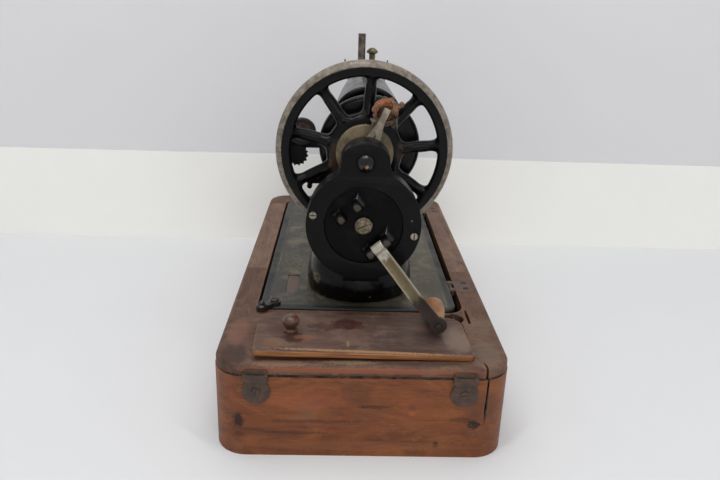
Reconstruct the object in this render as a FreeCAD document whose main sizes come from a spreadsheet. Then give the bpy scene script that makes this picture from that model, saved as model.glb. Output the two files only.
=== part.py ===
import FreeCAD, Part

import math
import os
import re

import Sketcher

# Old hand-crank sewing machine, hinged in its wooden base box.
# X runs to the right, Y away from the crank end, Z up. The origin is the middle of the base on the table.

doc = FreeCAD.newDocument("crank_machine")
sheet = doc.addObject("Spreadsheet::Sheet", "Sizes")

SIZES = [
    ("base_length", 432, "base box, near end to far end"),
    ("base_width", 218, "base box, left to right"),
    ("base_corner", 24, "plan radius of the box corners"),
    ("board_top", 67, "top of the side boards"),
    ("board_thick", 11, "side and end boards"),
    ("bottom_thick", 5, "bottom panel"),
    ("deck_thick", 9, "deck boards"),
    ("deck_edge", 3.5, "rounding of the deck's upper edge"),
    ("deck_inset", 0.6, "shadow line between deck and boards"),
    ("deck_seam", -35, "joint between near deck board and rails"),
    ("glue_block", 18, "leg of the corner glue blocks"),
    ("bay_left", -80, "compartment opening, left edge"),
    ("bay_right", 82.5, "compartment opening, right edge"),
    ("bay_near", -205, "compartment opening, near edge"),
    ("bay_far", -141, "compartment opening, far edge"),
    ("bay_corner", 6, "corners of the compartment opening"),
    ("notch_x", 76.3, "finger notch centre"),
    ("notch_y", -136.8, "finger notch centre"),
    ("notch_radius", 8.5, "finger notch"),
    ("slot_x", 88.6, "saw slot in the deck"),
    ("slot_start", -145, "near end of the saw slot"),
    ("slot_long", 25, "length of the saw slot"),
    ("slot_wide", 2.4, "width of the saw slot"),
    ("slot_deep", 6, "depth of the saw slot"),
    ("divider_thick", 10, "board between compartment and bed well"),
    ("bay_floor", 26, "top of the compartment floor"),
    ("bay_floor_thick", 5, "compartment floor board"),
    ("well_left", -87, "bed opening, left edge"),
    ("well_right", 87, "bed opening, right edge"),
    ("well_near", -126.5, "bed opening, near edge"),
    ("well_far", 189, "bed opening, far edge"),
    ("well_corner", 14, "corners of the bed opening"),
    ("running", 0.05, "radial clearance of shafts and pins"),
    ("gap", 0.3, "clearance between parts that move past each other"),
    ("catch_spacing", 150.6, "left to right distance of the catch plates"),
    ("catch_shift", -1.3, "middle of the pair of catch plates"),
    ("catch_disc", 10.2, "radius of the catch plate disc"),
    ("catch_disc_z", 55, "height of the disc centre"),
    ("catch_neck", 15, "width of the neck"),
    ("catch_tab", 17.8, "width of the upper tab"),
    ("catch_top", 72.5, "top of the tab"),
    ("catch_tab_high", 8.5, "height of the tab"),
    ("catch_plate", 1.2, "sheet thickness"),
    ("catch_bulge", 3.6, "how far the strap stands out"),
    ("catch_slot_wide", 12.3, "width of the slot for the cover's tongue"),
    ("catch_slot_deep", 2.2, "depth of that slot"),
    ("catch_screw", 3.15, "head radius"),
    ("hinge_x", 83.6, "tilt axis of the machine"),
    ("hinge_z", 72.6, "tilt axis of the machine"),
    ("hinge_pin", 1.5, "radius of the hinge pins"),
    ("hinge_knuckle", 3, "radius of the hinge knuckles"),
    ("hinge_near_y", -68, "near hinge"),
    ("hinge_far_y", 163, "far hinge"),
    ("hinge_leaf_long", 22, "leaf, along Y"),
    ("hinge_leaf_wide", 17, "leaf, across the rail"),
    ("hinge_leaf_thick", 2, "leaf sheet"),
    ("finger_wide", 9, "bed hinge finger, along Y"),
    ("finger_long", 15, "bed hinge finger, into the bed"),
    ("lid_pin_x", 77.3, "hinge line of the lid"),
    ("lid_pin_z", 73.7, "hinge line of the lid"),
    ("lid_pin", 1, "radius of the lid's steel pins"),
    ("lid_pin_bite", 6, "length of pin in the deck"),
    ("lid_mid_y", -174.4, "middle of the lid"),
    ("lid_long", 161.8, "lid board"),
    ("lid_right", 3.4, "lid past its hinge line"),
    ("lid_wide", 62.6, "lid board"),
    ("lid_lip", 4, "thickness of the lid's lip"),
    ("lid_under", 4, "thickness of the lid below the lip"),
    ("lid_lip_left", 3.6, "how far the lip overhangs at the left"),
    ("lid_under_near", 26, "underside, hinge middle to near edge"),
    ("lid_under_far", 29, "underside, hinge middle to far edge"),
    ("lid_far_corner", 12, "rounded far corners"),
    ("lid_near_corner", 4, "rounded near corners"),
    ("lid_tilt", 1.35, "degrees that the lid stands proud at the left"),
    ("lid_skew", 1.5, "degrees that the lid sits askew"),
    ("lid_knob_x", 132, "knob, from the hinge line"),
    ("lid_knob_ball", 6.35, "radius of the turned knob"),
    ("lid_knob_high", 15, "height of the turned knob"),
    ("bed_left", -84.5, "bed plate edges"),
    ("bed_right", 81.5, "bed plate edges"),
    ("bed_near", -124.7, "bed plate edges"),
    ("bed_far", 187, "bed plate edges"),
    ("bed_corner", 14, "bed plate corners"),
    ("bed_top", 77.3, "upper face of the bed"),
    ("bed_thick", 5.5, "bed plate"),
    ("bed_edge", 1.6, "rounding of the bed's upper edge"),
    ("skirt_deep", 5, "rib under the edge of the bed"),
    ("skirt_wide", 5, "rib under the edge of the bed"),
    ("pad_left", -66, "bare recess in the bed"),
    ("pad_near", -95, "bare recess in the bed"),
    ("pad_wide", 11, "bare recess in the bed"),
    ("pad_long", 40.5, "bare recess in the bed"),
    ("pad_deep", 0.7, "bare recess in the bed"),
    ("catch_pivot_x", -72.5, "bed catch, screw on the bed"),
    ("catch_pivot_y", -118, "bed catch, screw on the bed"),
    ("catch_knob_x", -82, "bed catch, thumb boss"),
    ("catch_knob_y", -128.5, "bed catch, thumb boss"),
    ("catch_knob", 4.6, "radius of the thumb boss"),
    ("catch_lever_thick", 3.2, "bed catch bar"),
    ("pillar_x", -0.5, "pillar, middle"),
    ("pillar_y", -68, "pillar, middle at the bed"),
    ("pillar_foot", 46.3, "pillar radius at the bed"),
    ("pillar_shoulder", 44.5, "pillar radius where it starts to lean back"),
    ("pillar_waist", 37, "pillar radius below the wheel"),
    ("pillar_neck", 32, "pillar radius under the arm"),
    ("pillar_shoulder_z", 103, "height of that section"),
    ("pillar_waist_z", 136, "height of that section"),
    ("pillar_neck_z", 190, "height of that section"),
    ("casting_wall", 6, "wall of the hollow casting"),
    ("shaft_x", -1.2, "main shaft axis"),
    ("shaft_z", 209, "main shaft axis"),
    ("shaft_radius", 5, "main shaft"),
    ("bell_radius", 41.3, "round end of the arm behind the wheel"),
    ("bell_x", 3.4, "middle of that round end"),
    ("bell_front", -95, "face of the arm end"),
    ("bell_thick", 7, "rim of the arm end"),
    ("arm_near_y", -66, "arm section beside the pillar"),
    ("arm_near_radius", 31, "arm section beside the pillar"),
    ("arm_near_z", 222.5, "arm section beside the pillar"),
    ("arm_mid_y", 0, "arm section"),
    ("arm_mid_radius", 28.5, "arm section"),
    ("arm_mid_z", 224, "arm section"),
    ("arm_far_y", 80, "arm section"),
    ("arm_far_radius", 24.5, "arm section"),
    ("arm_far_z", 226, "arm section"),
    ("arm_end_y", 128, "arm section at the head"),
    ("arm_end_radius", 20.5, "arm section at the head"),
    ("arm_end_z", 228, "arm section at the head"),
    ("head_left", -14, "head, left side"),
    ("head_right", 27.5, "head, right side"),
    ("head_near", 124, "head, side towards the pillar"),
    ("head_far", 162, "head, face side"),
    ("head_bottom", 166, "underside of the head"),
    ("head_top", 253, "top of the head"),
    ("head_edge", 5, "rounding of the head"),
    ("head_wall", 5, "wall of the head"),
    ("face_thick", 2.2, "face plate"),
    ("needle_x", 1, "needle bar axis"),
    ("needle_y", 150, "needle and presser bar axes"),
    ("needle_bar_radius", 4.2, "needle bar"),
    ("needle_bar_top", 284.5, "needle bar, raised"),
    ("needle_bar_bottom", 125, "needle bar, raised"),
    ("needle_tip", 89, "needle point, raised"),
    ("needle_radius", 0.9, "needle"),
    ("clamp_radius", 5, "needle clamp"),
    ("clamp_high", 10, "needle clamp"),
    ("presser_x", 13, "presser bar axis"),
    ("presser_radius", 3, "presser bar"),
    ("presser_knob_radius", 6.2, "pressure knob"),
    ("presser_knob_top", 269.6, "pressure knob"),
    ("presser_knob_neck", 4.6, "threaded neck of the pressure knob, in the head"),
    ("presser_travel", 5, "how far the lifter raises the presser bar"),
    ("presser_tip", 1.7, "slim upper end of the presser bar, in the pressure knob"),
    ("foot_long", 26, "presser foot, along the feed"),
    ("foot_wide", 15, "presser foot, across the feed"),
    ("foot_thick", 2, "presser foot"),
    ("takeup_x", 7.3, "take-up lever, middle"),
    ("takeup_thick", 2.2, "take-up lever"),
    ("takeup_pivot_y", 137, "take-up lever pivot"),
    ("takeup_pivot_z", 232, "take-up lever pivot"),
    ("takeup_reach", 41, "take-up lever"),
    ("needle_plate_left", -19, "needle plate"),
    ("needle_plate_right", 26, "needle plate"),
    ("plate_near", 127, "needle and slide plates"),
    ("plate_far", 173, "needle and slide plates"),
    ("plate_thick", 1, "needle and slide plates"),
    ("back_travel", 12, "how far the back slide plate moves, to the edge of the bed"),
    ("cam_radius", 7, "needle cam on the main shaft"),
    ("cam_thick", 5, "needle cam on the main shaft"),
    ("wheel_radius", 69.8, "handwheel"),
    ("wheel_front", -118, "front of the rim"),
    ("wheel_thick", 15, "rim, front to back"),
    ("rim_inner", 57.6, "inside of the rim"),
    ("rim_flare", 3, "how far the inside of the rim opens towards the back"),
    ("rim_round", 5.5, "rounding of the rim"),
    ("spoke_count", 9, "spokes"),
    ("spoke_first", 6, "degrees from the right of the first spoke"),
    ("spoke_root", 5.2, "spoke radius at the hub"),
    ("spoke_tip", 4.2, "spoke radius at the rim"),
    ("hub_radius", 30.2, "handwheel hub"),
    ("hub_dish", 3, "hub back face, from the back of the rim"),
    ("clutch_radius", 22.5, "clutch disc"),
    ("clutch_thick", 3.6, "clutch disc"),
    ("gear_module", 1.2, "tooth size of the crank gears"),
    ("gear_teeth", 60, "crank gear"),
    ("pinion_teeth", 20, "drive pinion"),
    ("gear_width", 8, "tooth width"),
    ("housing_radius", 43.7, "gear housing"),
    ("housing_front", -155, "face of the gear housing"),
    ("housing_deep", 20, "gear housing, front to back"),
    ("housing_wall", 4.2, "wall of the gear housing"),
    ("cover_thick", 3.5, "ring that covers the gear"),
    ("cover_bore", 29.9, "opening of that ring"),
    ("lobe_half", 18.4, "lobe over the pinion, half width"),
    ("lobe_high", 16, "lobe over the pinion, above the shaft axis"),
    ("lobe_round", 2, "rounding of the lobe's front edge"),
    ("ear_flat", 199.5, "height where the ring stops under the lobe"),
    ("gear_face_inset", 1, "gear face behind the ring's face"),
    ("gear_screw_radius", 6.65, "centre screw head"),
    ("gear_stud_radius", 5, "centre screw shank"),
    ("pinion_stud_radius", 3.5, "stud that the pinion runs on"),
    ("pinion_knob", 7, "domed end of that stud"),
    ("sleeve_radius", 6.2, "pinion sleeve"),
    ("clamp_boss", 10, "boss on the pillar for the crank bracket"),
    ("clamp_boss_z", 122.5, "boss on the pillar for the crank bracket"),
    ("clamp_boss_front", -128, "boss on the pillar for the crank bracket"),
    ("bracket_wall", 4.5, "ring round that boss"),
    ("crank_angle", -50, "degrees, crank arm from the right"),
    ("fold_radius", 17.5, "fold hinge, from the gear axis"),
    ("fold_out", 10, "fold hinge, in front of the ring face"),
    ("fold_pin", 2, "radius of the fold pin"),
    ("lug_radius", 4.2, "round end of the lugs"),
    ("lug_wide", 4.6, "lug, across"),
    ("lug_gap", 10.6, "space between a pair of lugs"),
    ("crank_bend", 63, "bend of the arm, from the gear axis"),
    ("crank_reach", 90.5, "grip, from the gear axis"),
    ("crank_out", 25.5, "outer stretch of the arm, in front of the ring face"),
    ("arm_wide", 9.4, "crank arm"),
    ("arm_thick", 3, "crank arm"),
    ("arm_end_boss", 6.75, "round end of the crank arm"),
    ("grip_long", 36, "wooden grip"),
    ("grip_neck", 5.6, "grip radius at the arm"),
    ("grip_belly", 8.6, "largest grip radius"),
    ("grip_spindle", 2, "spindle radius"),
    ("finger_root", 8, "half width of the drive finger at its root"),
    ("finger_tip", 2.6, "half width of the drive finger at its tip"),
    ("finger_thick", 3.6, "drive finger"),
    ("finger_reach", 37, "drive finger, from the shaft axis"),
    ("finger_angle", 67, "degrees, drive finger from the right"),
    ("winder_x", -51.3, "winder pulley"),
    ("winder_z", 219.4, "winder pulley"),
    ("winder_tyre", 11.2, "radius of the rubber tyre"),
    ("winder_tyre_wide", 4, "rubber tyre"),
    ("winder_pivot_x", -57, "winder pivot"),
    ("winder_pivot_z", 203, "winder pivot"),
    ("winder_back", -90, "winder frame, side towards the wheel"),
    ("peg_low_x", -45.1, "lower thread peg of the winder"),
    ("peg_low_z", 173.5, "lower thread peg of the winder"),
    ("peg_high_x", -37.2, "upper thread peg of the winder"),
    ("peg_high_z", 178.6, "upper thread peg of the winder"),
    ("shuttle_pivot_x", 0, "shuttle lever pivot"),
    ("shuttle_pivot_y", -20, "shuttle lever pivot"),
    ("shuttle_reach", 158, "shuttle lever"),
    ("screw_small", 2.6, "head radius of the small screws"),
    ("screw_cover", 2.9, "head radius of the cover screws"),
    ("screw_slot", 0.8, "width of screw slots"),
]

for row, (alias, number, note) in enumerate(SIZES, start=1):
    sheet.set(f"A{row}", note)
    sheet.set(f"B{row}", str(number))
    sheet.setAlias(f"B{row}", alias)
doc.recompute()

ALIAS = re.compile(r"\b(" + "|".join(alias for alias, number, note in SIZES) + r")\b")
ALONG = {
    "x": FreeCAD.Rotation(FreeCAD.Vector(0, 1, 0), 90),
    "y": FreeCAD.Rotation(FreeCAD.Vector(1, 0, 0), -90),
    "z": FreeCAD.Rotation(),
}
DERIVED = {
    "gear_z": "(shaft_z - gear_module * (gear_teeth + pinion_teeth) / 2)",
}
PIECES = []


def cells(formula):
    """Point every size named in a formula at its cell of the sheet."""
    text = str(formula)
    for name, meaning in DERIVED.items():
        text = re.sub(rf"\b{name}\b", meaning, text)
    return ALIAS.sub(r"Sizes.\1", text)


def value(formula):
    """Work a formula out from the sheet."""
    answer = sheet.evalExpression(cells(formula))
    return float(answer.Value if hasattr(answer, "Value") else answer)


def bind(item, **formulas):
    for name, formula in formulas.items():
        item.setExpression(name, cells(formula))
    return item


def put(item, x="0", y="0", z="0", turn=None):
    """Place a piece: the turn is fixed, the place follows the sheet."""
    if turn is not None:
        item.Placement = FreeCAD.Placement(FreeCAD.Vector(), turn)
    for axis, formula in zip("xyz", (x, y, z)):
        item.setExpression(f"Placement.Base.{axis}", cells(formula))
    return item


def node(item, label):
    """Mark a finished piece and give it its own name."""
    item.Label = label
    PIECES.append(item)
    return item


def block(name, x, y, z):
    """Box between two formulas on each axis."""
    item = doc.addObject("Part::Box", name)
    bind(
        item,
        Length=f"({x[1]}) - ({x[0]})",
        Width=f"({y[1]}) - ({y[0]})",
        Height=f"({z[1]}) - ({z[0]})",
    )
    return put(item, x[0], y[0], z[0])


def rod(name, axis, radius, span, at):
    """Cylinder along an axis between two formulas; at holds its place on the other two axes."""
    item = doc.addObject("Part::Cylinder", name)
    bind(item, Radius=radius, Height=f"({span[1]}) - ({span[0]})")
    spot = list(at)
    spot.insert("xyz".index(axis), span[0])
    return put(item, *spot, turn=ALONG[axis])


def taper(name, axis, radii, span, at):
    item = doc.addObject("Part::Cone", name)
    bind(item, Radius1=radii[0], Radius2=radii[1], Height=f"({span[1]}) - ({span[0]})")
    spot = list(at)
    spot.insert("xyz".index(axis), span[0])
    return put(item, *spot, turn=ALONG[axis])


def ball(name, radius, at):
    item = doc.addObject("Part::Sphere", name)
    bind(item, Radius=radius)
    return put(item, *at)


def fuse(name, *items):
    item = doc.addObject("Part::MultiFuse", name)
    item.Shapes = list(items)
    item.Refine = True
    return item


def cut(name, base, *tools):
    item = doc.addObject("Part::Cut", name)
    item.Base = base
    item.Tool = tools[0] if len(tools) == 1 else fuse(name + "_tools", *tools)
    item.Refine = True
    return item


def common(name, base, tool):
    item = doc.addObject("Part::Common", name)
    item.Base = base
    item.Tool = tool
    return item


def group(name, *items):
    """Several separate solids, or a turned copy of one, as one item."""
    item = doc.addObject("Part::Compound", name)
    item.Links = list(items)
    return item


def sketch_on(body, name, role, offset):
    sketch = body.newObject("Sketcher::SketchObject", name)
    plane = next(f for f in body.Origin.OriginFeatures if f.Role == role)
    sketch.AttachmentSupport = [(plane, "")]
    sketch.MapMode = "FlatFace"
    sketch.setExpression("AttachmentOffset.Base.z", cells(offset))
    return sketch


def outline(sketch, points):
    """Closed outline whose corners are tied to formulas."""
    spots = [(value(across), value(up)) for across, up in points]
    count = len(spots)
    for i, spot in enumerate(spots):
        nxt = spots[(i + 1) % count]
        sketch.addGeometry(Part.LineSegment(FreeCAD.Vector(*spot, 0), FreeCAD.Vector(*nxt, 0)))
    for i in range(count):
        sketch.addConstraint(Sketcher.Constraint("Coincident", i, 2, (i + 1) % count, 1))
    for i, (spot, formulas) in enumerate(zip(spots, points)):
        for kind, number, formula in zip(("DistanceX", "DistanceY"), spot, formulas):
            tie = sketch.addConstraint(Sketcher.Constraint(kind, i, 1, number))
            sketch.setExpression(f"Constraints[{tie}]", cells(formula))


def plate(name, points, span, role="XY_Plane"):
    """Pad of a straight-sided outline between two formulas along the plane's axis."""
    body = doc.addObject("PartDesign::Body", name)
    start = f"-({span[1]})" if role == "XZ_Plane" else span[0]
    sketch = sketch_on(body, name + "_outline", role, start)
    outline(sketch, points)
    pad = body.newObject("PartDesign::Pad", name + "_pad")
    pad.Profile = sketch
    bind(pad, Length=f"({span[1]}) - ({span[0]})")
    return body


def turned(name, profile, axis="z", at=("0", "0", "0")):
    """Solid of revolution; the profile lists (radius, distance along the axis)."""
    body = doc.addObject("PartDesign::Body", name)
    sketch = sketch_on(body, name + "_profile", "XZ_Plane", "0")
    outline(sketch, profile)
    spin = body.newObject("PartDesign::Revolution", name + "_spin")
    spin.Profile = sketch
    spin.ReferenceAxis = (sketch, ["V_Axis"])
    spin.Angle = 360
    return put(body, *at, turn=ALONG[axis])


def rounded(body, radius, chosen):
    """Round the edges of a body that a test picks out."""
    doc.recompute()
    base = body.Tip
    names = [f"Edge{i}" for i, edge in enumerate(base.Shape.Edges, start=1) if chosen(edge.BoundBox)]
    fillet = body.newObject("PartDesign::Fillet", f"{body.Name}_round{len(body.Group)}")
    fillet.Base = (base, names)
    bind(fillet, Radius=radius)
    return body


def upright(bounds):
    return bounds.XLength < 1e-4 and bounds.YLength < 1e-4


def near(a, b):
    return abs(a - b) < 1e-3


def rounded_board(name, x, y, z, corner, edge=None):
    """Board with rounded corners in plan and, if asked, a rounded upper edge."""
    corners = [(x[0], y[0]), (x[1], y[0]), (x[1], y[1]), (x[0], y[1])]
    body = plate(name, corners, z)
    rounded(body, corner, upright)
    if edge is not None:
        top = value(z[1])
        rounded(body, edge, lambda b: near(b.ZMin, top) and near(b.ZMax, top))
    return body


def slotted_screw(name, head, head_high, shank, shank_long, axis, at, turn=None):
    """Screw whose head points along the axis, with a slot across it; at is under the head."""
    profile = [
        ("0", f"-({shank_long})"),
        (shank, f"-({shank_long})"),
        (shank, "0"),
        (head, "0"),
        (head, f"({head_high}) * 0.55"),
        (f"({head}) * 0.8", head_high),
        ("0", head_high),
    ]
    body = turned(name, profile)
    slot = block(
        name + "_slot",
        (f"-({head}) * 1.2", f"({head}) * 1.2"),
        ("-screw_slot / 2", "screw_slot / 2"),
        (f"({head_high}) * 0.5", f"({head_high}) * 1.5"),
    )
    return put(cut(name + "_cut", body, slot), *at, turn=turn if turn is not None else ALONG[axis])


# Wooden base box

HALF_LONG = "base_length / 2"
HALF_WIDE = "base_width / 2"
DECK_TOP = "board_top + deck_thick"


def box_outline(name, inset, z, edge=None):
    """The rounded plan of the base box, drawn in by an inset."""
    return rounded_board(
        name,
        (f"-{HALF_WIDE} + {inset}", f"{HALF_WIDE} - {inset}"),
        (f"-{HALF_LONG} + {inset}", f"{HALF_LONG} - {inset}"),
        z,
        f"base_corner - {inset}",
        edge,
    )


def wall_piece(label, x, y, *tools):
    piece = common(label + "_wall", box_outline(label + "_plan", "0", ("0", "board_top")), block(
        label + "_zone", x, y, ("0", "board_top")))
    return node(cut(label + "_cut", piece, *tools) if tools else piece, label)


INNER_X = ("-base_width / 2 + board_thick", "base_width / 2 - board_thick")
INNER_Y = ("-base_length / 2 + board_thick", "base_length / 2 - board_thick")

node(block("bottom", INNER_X, INNER_Y, ("0", "bottom_thick")), "bottom_panel")

split_top = [("90.6", "65"), ("91.6", "65"), ("91.2", "58"), ("90.4", "50"), ("90.9", "44"),
             ("89.9", "36"),
             ("89.7", "44"), ("90.0", "50"), ("90.3", "58")]
board_split = plate(
    "board_split",
    [(f"{across} / 109 * {HALF_WIDE}", f"{up} / 67 * board_top") for across, up in split_top],
    ("-base_length / 2 - 1", "-base_length / 2 + 3"),
    "XZ_Plane",
)
ALL_X = (f"-{HALF_WIDE}", HALF_WIDE)
wall_piece("near_end_board", ALL_X, (f"-{HALF_LONG}", INNER_Y[0]), board_split)
wall_piece("far_end_board", ALL_X, (INNER_Y[1], HALF_LONG))
wall_piece("left_side_board", (f"-{HALF_WIDE}", INNER_X[0]), INNER_Y)
wall_piece("right_side_board", (INNER_X[1], HALF_WIDE), INNER_Y)

blocks = []
for sx in (-1, 1):
    for sy in (-1, 1):
        corner_x = f"{sx} * ({HALF_WIDE} - board_thick)"
        corner_y = f"{sy} * ({HALF_LONG} - board_thick)"
        blocks.append(plate(
            f"glue_block_{len(blocks)}",
            [
                (corner_x, corner_y),
                (f"{corner_x} - {sx} * glue_block", corner_y),
                (corner_x, f"{corner_y} - {sy} * glue_block"),
            ],
            ("bottom_thick", "bay_floor - bay_floor_thick"),
        ))
node(group("glue_blocks", *blocks), "corner_blocks")

# Deck: one near board with the compartment opening, and three rails round the bed

bay = rounded_board(
    "bay_hole",
    ("bay_left", "bay_right"),
    ("bay_near", "bay_far"),
    ("board_top - 1", f"{DECK_TOP} + 1"),
    "bay_corner",
)
notch = rod("notch", "z", "notch_radius", ("board_top - 1", f"{DECK_TOP} + 1"), ("notch_x", "notch_y"))
saw_slot = block(
    "saw_slot",
    ("slot_x - slot_wide / 2", "slot_x + slot_wide / 2"),
    ("slot_start", "slot_start + slot_long"),
    (f"{DECK_TOP} - slot_deep", f"{DECK_TOP} + 1"),
)
deck_split = plate(
    "deck_split",
    [
        (f"{HALF_WIDE} - 21.6", f"-{HALF_LONG} + 10.5"),
        (f"{HALF_WIDE} - 20.1", f"-{HALF_LONG} - 1"),
        (f"{HALF_WIDE} - 17.7", f"-{HALF_LONG} - 1"),
        (f"{HALF_WIDE} - 19.9", f"-{HALF_LONG} + 8"),
    ],
    ("board_top - 1", f"{DECK_TOP} + 1"),
)
PIN_END = "notch_y + notch_radius + lid_pin_bite * 0.7"
pin_holes = rod(
    "lid_pin_holes", "y", "lid_pin + running",
    ("bay_near - lid_pin_bite - 0.5", f"{PIN_END} + 0.5"), ("lid_pin_x", "lid_pin_z"),
)
well = rounded_board(
    "well_hole",
    ("well_left", "well_right"),
    ("well_near", "well_far"),
    ("board_top - 1", f"{DECK_TOP} + 1"),
    "well_corner",
)


def leaf_seat(name, middle):
    return block(
        name,
        ("well_right - 1", "well_right + hinge_leaf_wide + 0.05"),
        (f"{middle} - hinge_leaf_long / 2 - 0.05", f"{middle} + hinge_leaf_long / 2 + 0.05"),
        (f"{DECK_TOP} - hinge_leaf_thick - 0.2", f"{DECK_TOP} + 1"),
    )


near_seat = leaf_seat("near_leaf_seat", "hinge_near_y")
far_seat = leaf_seat("far_leaf_seat", "hinge_far_y")


def deck_piece(label, x, y, *tools):
    plan = box_outline(label + "_plan", "deck_inset", ("board_top", DECK_TOP), "deck_edge")
    zone = block(label + "_zone", x, y, ("board_top", DECK_TOP))
    return node(cut(label + "_cut", common(label + "_part", plan, zone), *tools), label)


deck_piece("deck_near_board", ALL_X, (f"-{HALF_LONG}", "deck_seam"),
           bay, notch, saw_slot, deck_split, pin_holes, well, near_seat)
deck_piece("deck_left_rail", (f"-{HALF_WIDE}", "well_left + well_corner"),
           ("deck_seam", "well_far - well_corner"), well)
deck_piece("deck_right_rail", ("well_right - well_corner", HALF_WIDE),
           ("deck_seam", "well_far - well_corner"),
           well, far_seat)
deck_piece("deck_far_rail", ALL_X, ("well_far - well_corner", HALF_LONG), well, far_seat)

# Inside the base: compartment and the blocks that carry the bed

DIVIDER_FAR = "bay_far + divider_thick"
node(block("divider", INNER_X, ("bay_far", DIVIDER_FAR), ("bottom_thick", "board_top")),
     "compartment_divider")
node(block("bay_board", INNER_X, (INNER_Y[0], "bay_far"), ("bay_floor - bay_floor_thick", "bay_floor")),
     "compartment_floor")

BED_UNDER = "bed_top - bed_thick - skirt_deep"
bearers = []
for spot, (y0, y1) in enumerate((
    ("bed_near + bed_corner", "bed_near + bed_corner + 26"),
    ("bed_far - bed_corner - 26", "bed_far - bed_corner"),
)):
    bearers.append(block(f"bearer_{spot}", (INNER_X[0], "bed_left + 9"), (y0, y1),
                         ("bottom_thick", f"{BED_UNDER} - gap")))
node(group("bearers", *bearers), "bed_bearers")

# Catch plates for the cover, two on each end face

FACE = "base_length / 2"


def catch_plate(name, middle):
    """Disc, neck and bulged tab with an upward slot, built against the near face."""
    sheet_y = ("-catch_plate", "0")
    disc = rod(name + "_disc", "y", "catch_disc", sheet_y, (middle, "catch_disc_z"))
    neck = block(name + "_neck", (f"{middle} - catch_neck / 2", f"{middle} + catch_neck / 2"), sheet_y,
                 ("catch_disc_z", "catch_top - catch_tab_high + 1"))
    tab = block(name + "_tab", (f"{middle} - catch_tab / 2", f"{middle} + catch_tab / 2"),
                ("-catch_bulge", "0"), ("catch_top - catch_tab_high", "catch_top - 3"))
    crown = block(name + "_crown", (f"{middle} - catch_tab / 2 + 3", f"{middle} + catch_tab / 2 - 3"),
                  sheet_y,
                  ("catch_top - 4", "catch_top"))
    ears = [rod(f"{name}_ear{side}", "y", "3", sheet_y,
                (f"{middle} + {side} * (catch_tab / 2 - 3)", "catch_top - 3")) for side in (-1, 1)]
    slot = block(name + "_slot", (f"{middle} - catch_slot_wide / 2", f"{middle} + catch_slot_wide / 2"),
                 ("-catch_plate - catch_slot_deep + 0.8", "-catch_plate + 0.4"),
                 ("catch_top - catch_tab_high - 1", "catch_top + 1"))
    solid = fuse(name + "_solid", disc, neck, tab, crown, *ears)
    bore = rod(name + "_bore", "y", "1.6", ("-catch_plate - 1", "1"), (middle, "catch_disc_z"))
    return cut(name + "_cut", solid, slot, bore)


HALF_TURN = FreeCAD.Rotation(FreeCAD.Vector(0, 0, 1), 180)
catches = []
catch_screws = []
for end, turn in ((-1, FreeCAD.Rotation()), (1, HALF_TURN)):
    for side in (-1, 1):
        tag = f"catch_{'near' if end < 0 else 'far'}_{'left' if side * -end < 0 else 'right'}"
        middle = f"{side} * catch_spacing / 2 + catch_shift"
        placed = group(tag, catch_plate(tag + "_plate", middle))
        catches.append(put(placed, "0", f"{end} * {FACE}", "0", turn=turn))
        lay = FreeCAD.Rotation(FreeCAD.Vector(0, 0, 1), 80 if side < 0 else 0)
        screw = slotted_screw(tag + "_screw", "catch_screw", "1.1", "1.6", "7", "z", ("0", "0", "0"),
                              turn=lay)
        faced = put(group(tag + "_turned", screw), middle, "-catch_plate", "catch_disc_z",
                    turn=FreeCAD.Rotation(FreeCAD.Vector(1, 0, 0), 90))
        catch_screws.append(put(group(tag + "_screwed", faced), "0", f"{end} * {FACE}", "0", turn=turn))
node(group("catches", *catches), "catch_plates")

# The screws stand in the boards, so each board gets its holes
for label in ("near_end_board", "far_end_board"):
    board = next(item for item in PIECES if item.Label == label)
    end = -1 if label.startswith("near") else 1
    holes = [rod(f"{label}_hole{side}", "y", "1.6", (f"{end} * {FACE} - 8", f"{end} * {FACE} + 8"),
                 (f"{-end} * ({side} * catch_spacing / 2 + catch_shift)",
                  "catch_disc_z")) for side in (-1, 1)]
    PIECES.remove(board)
    board.Label = label + "_blank"
    node(cut(label + "_drilled", board, *holes), label)
node(group("catch_fixings", *catch_screws), "catch_screws")

# Hinges: a leaf let into the back rail, a pin through its two knuckles, a finger on the bed between them

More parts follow.
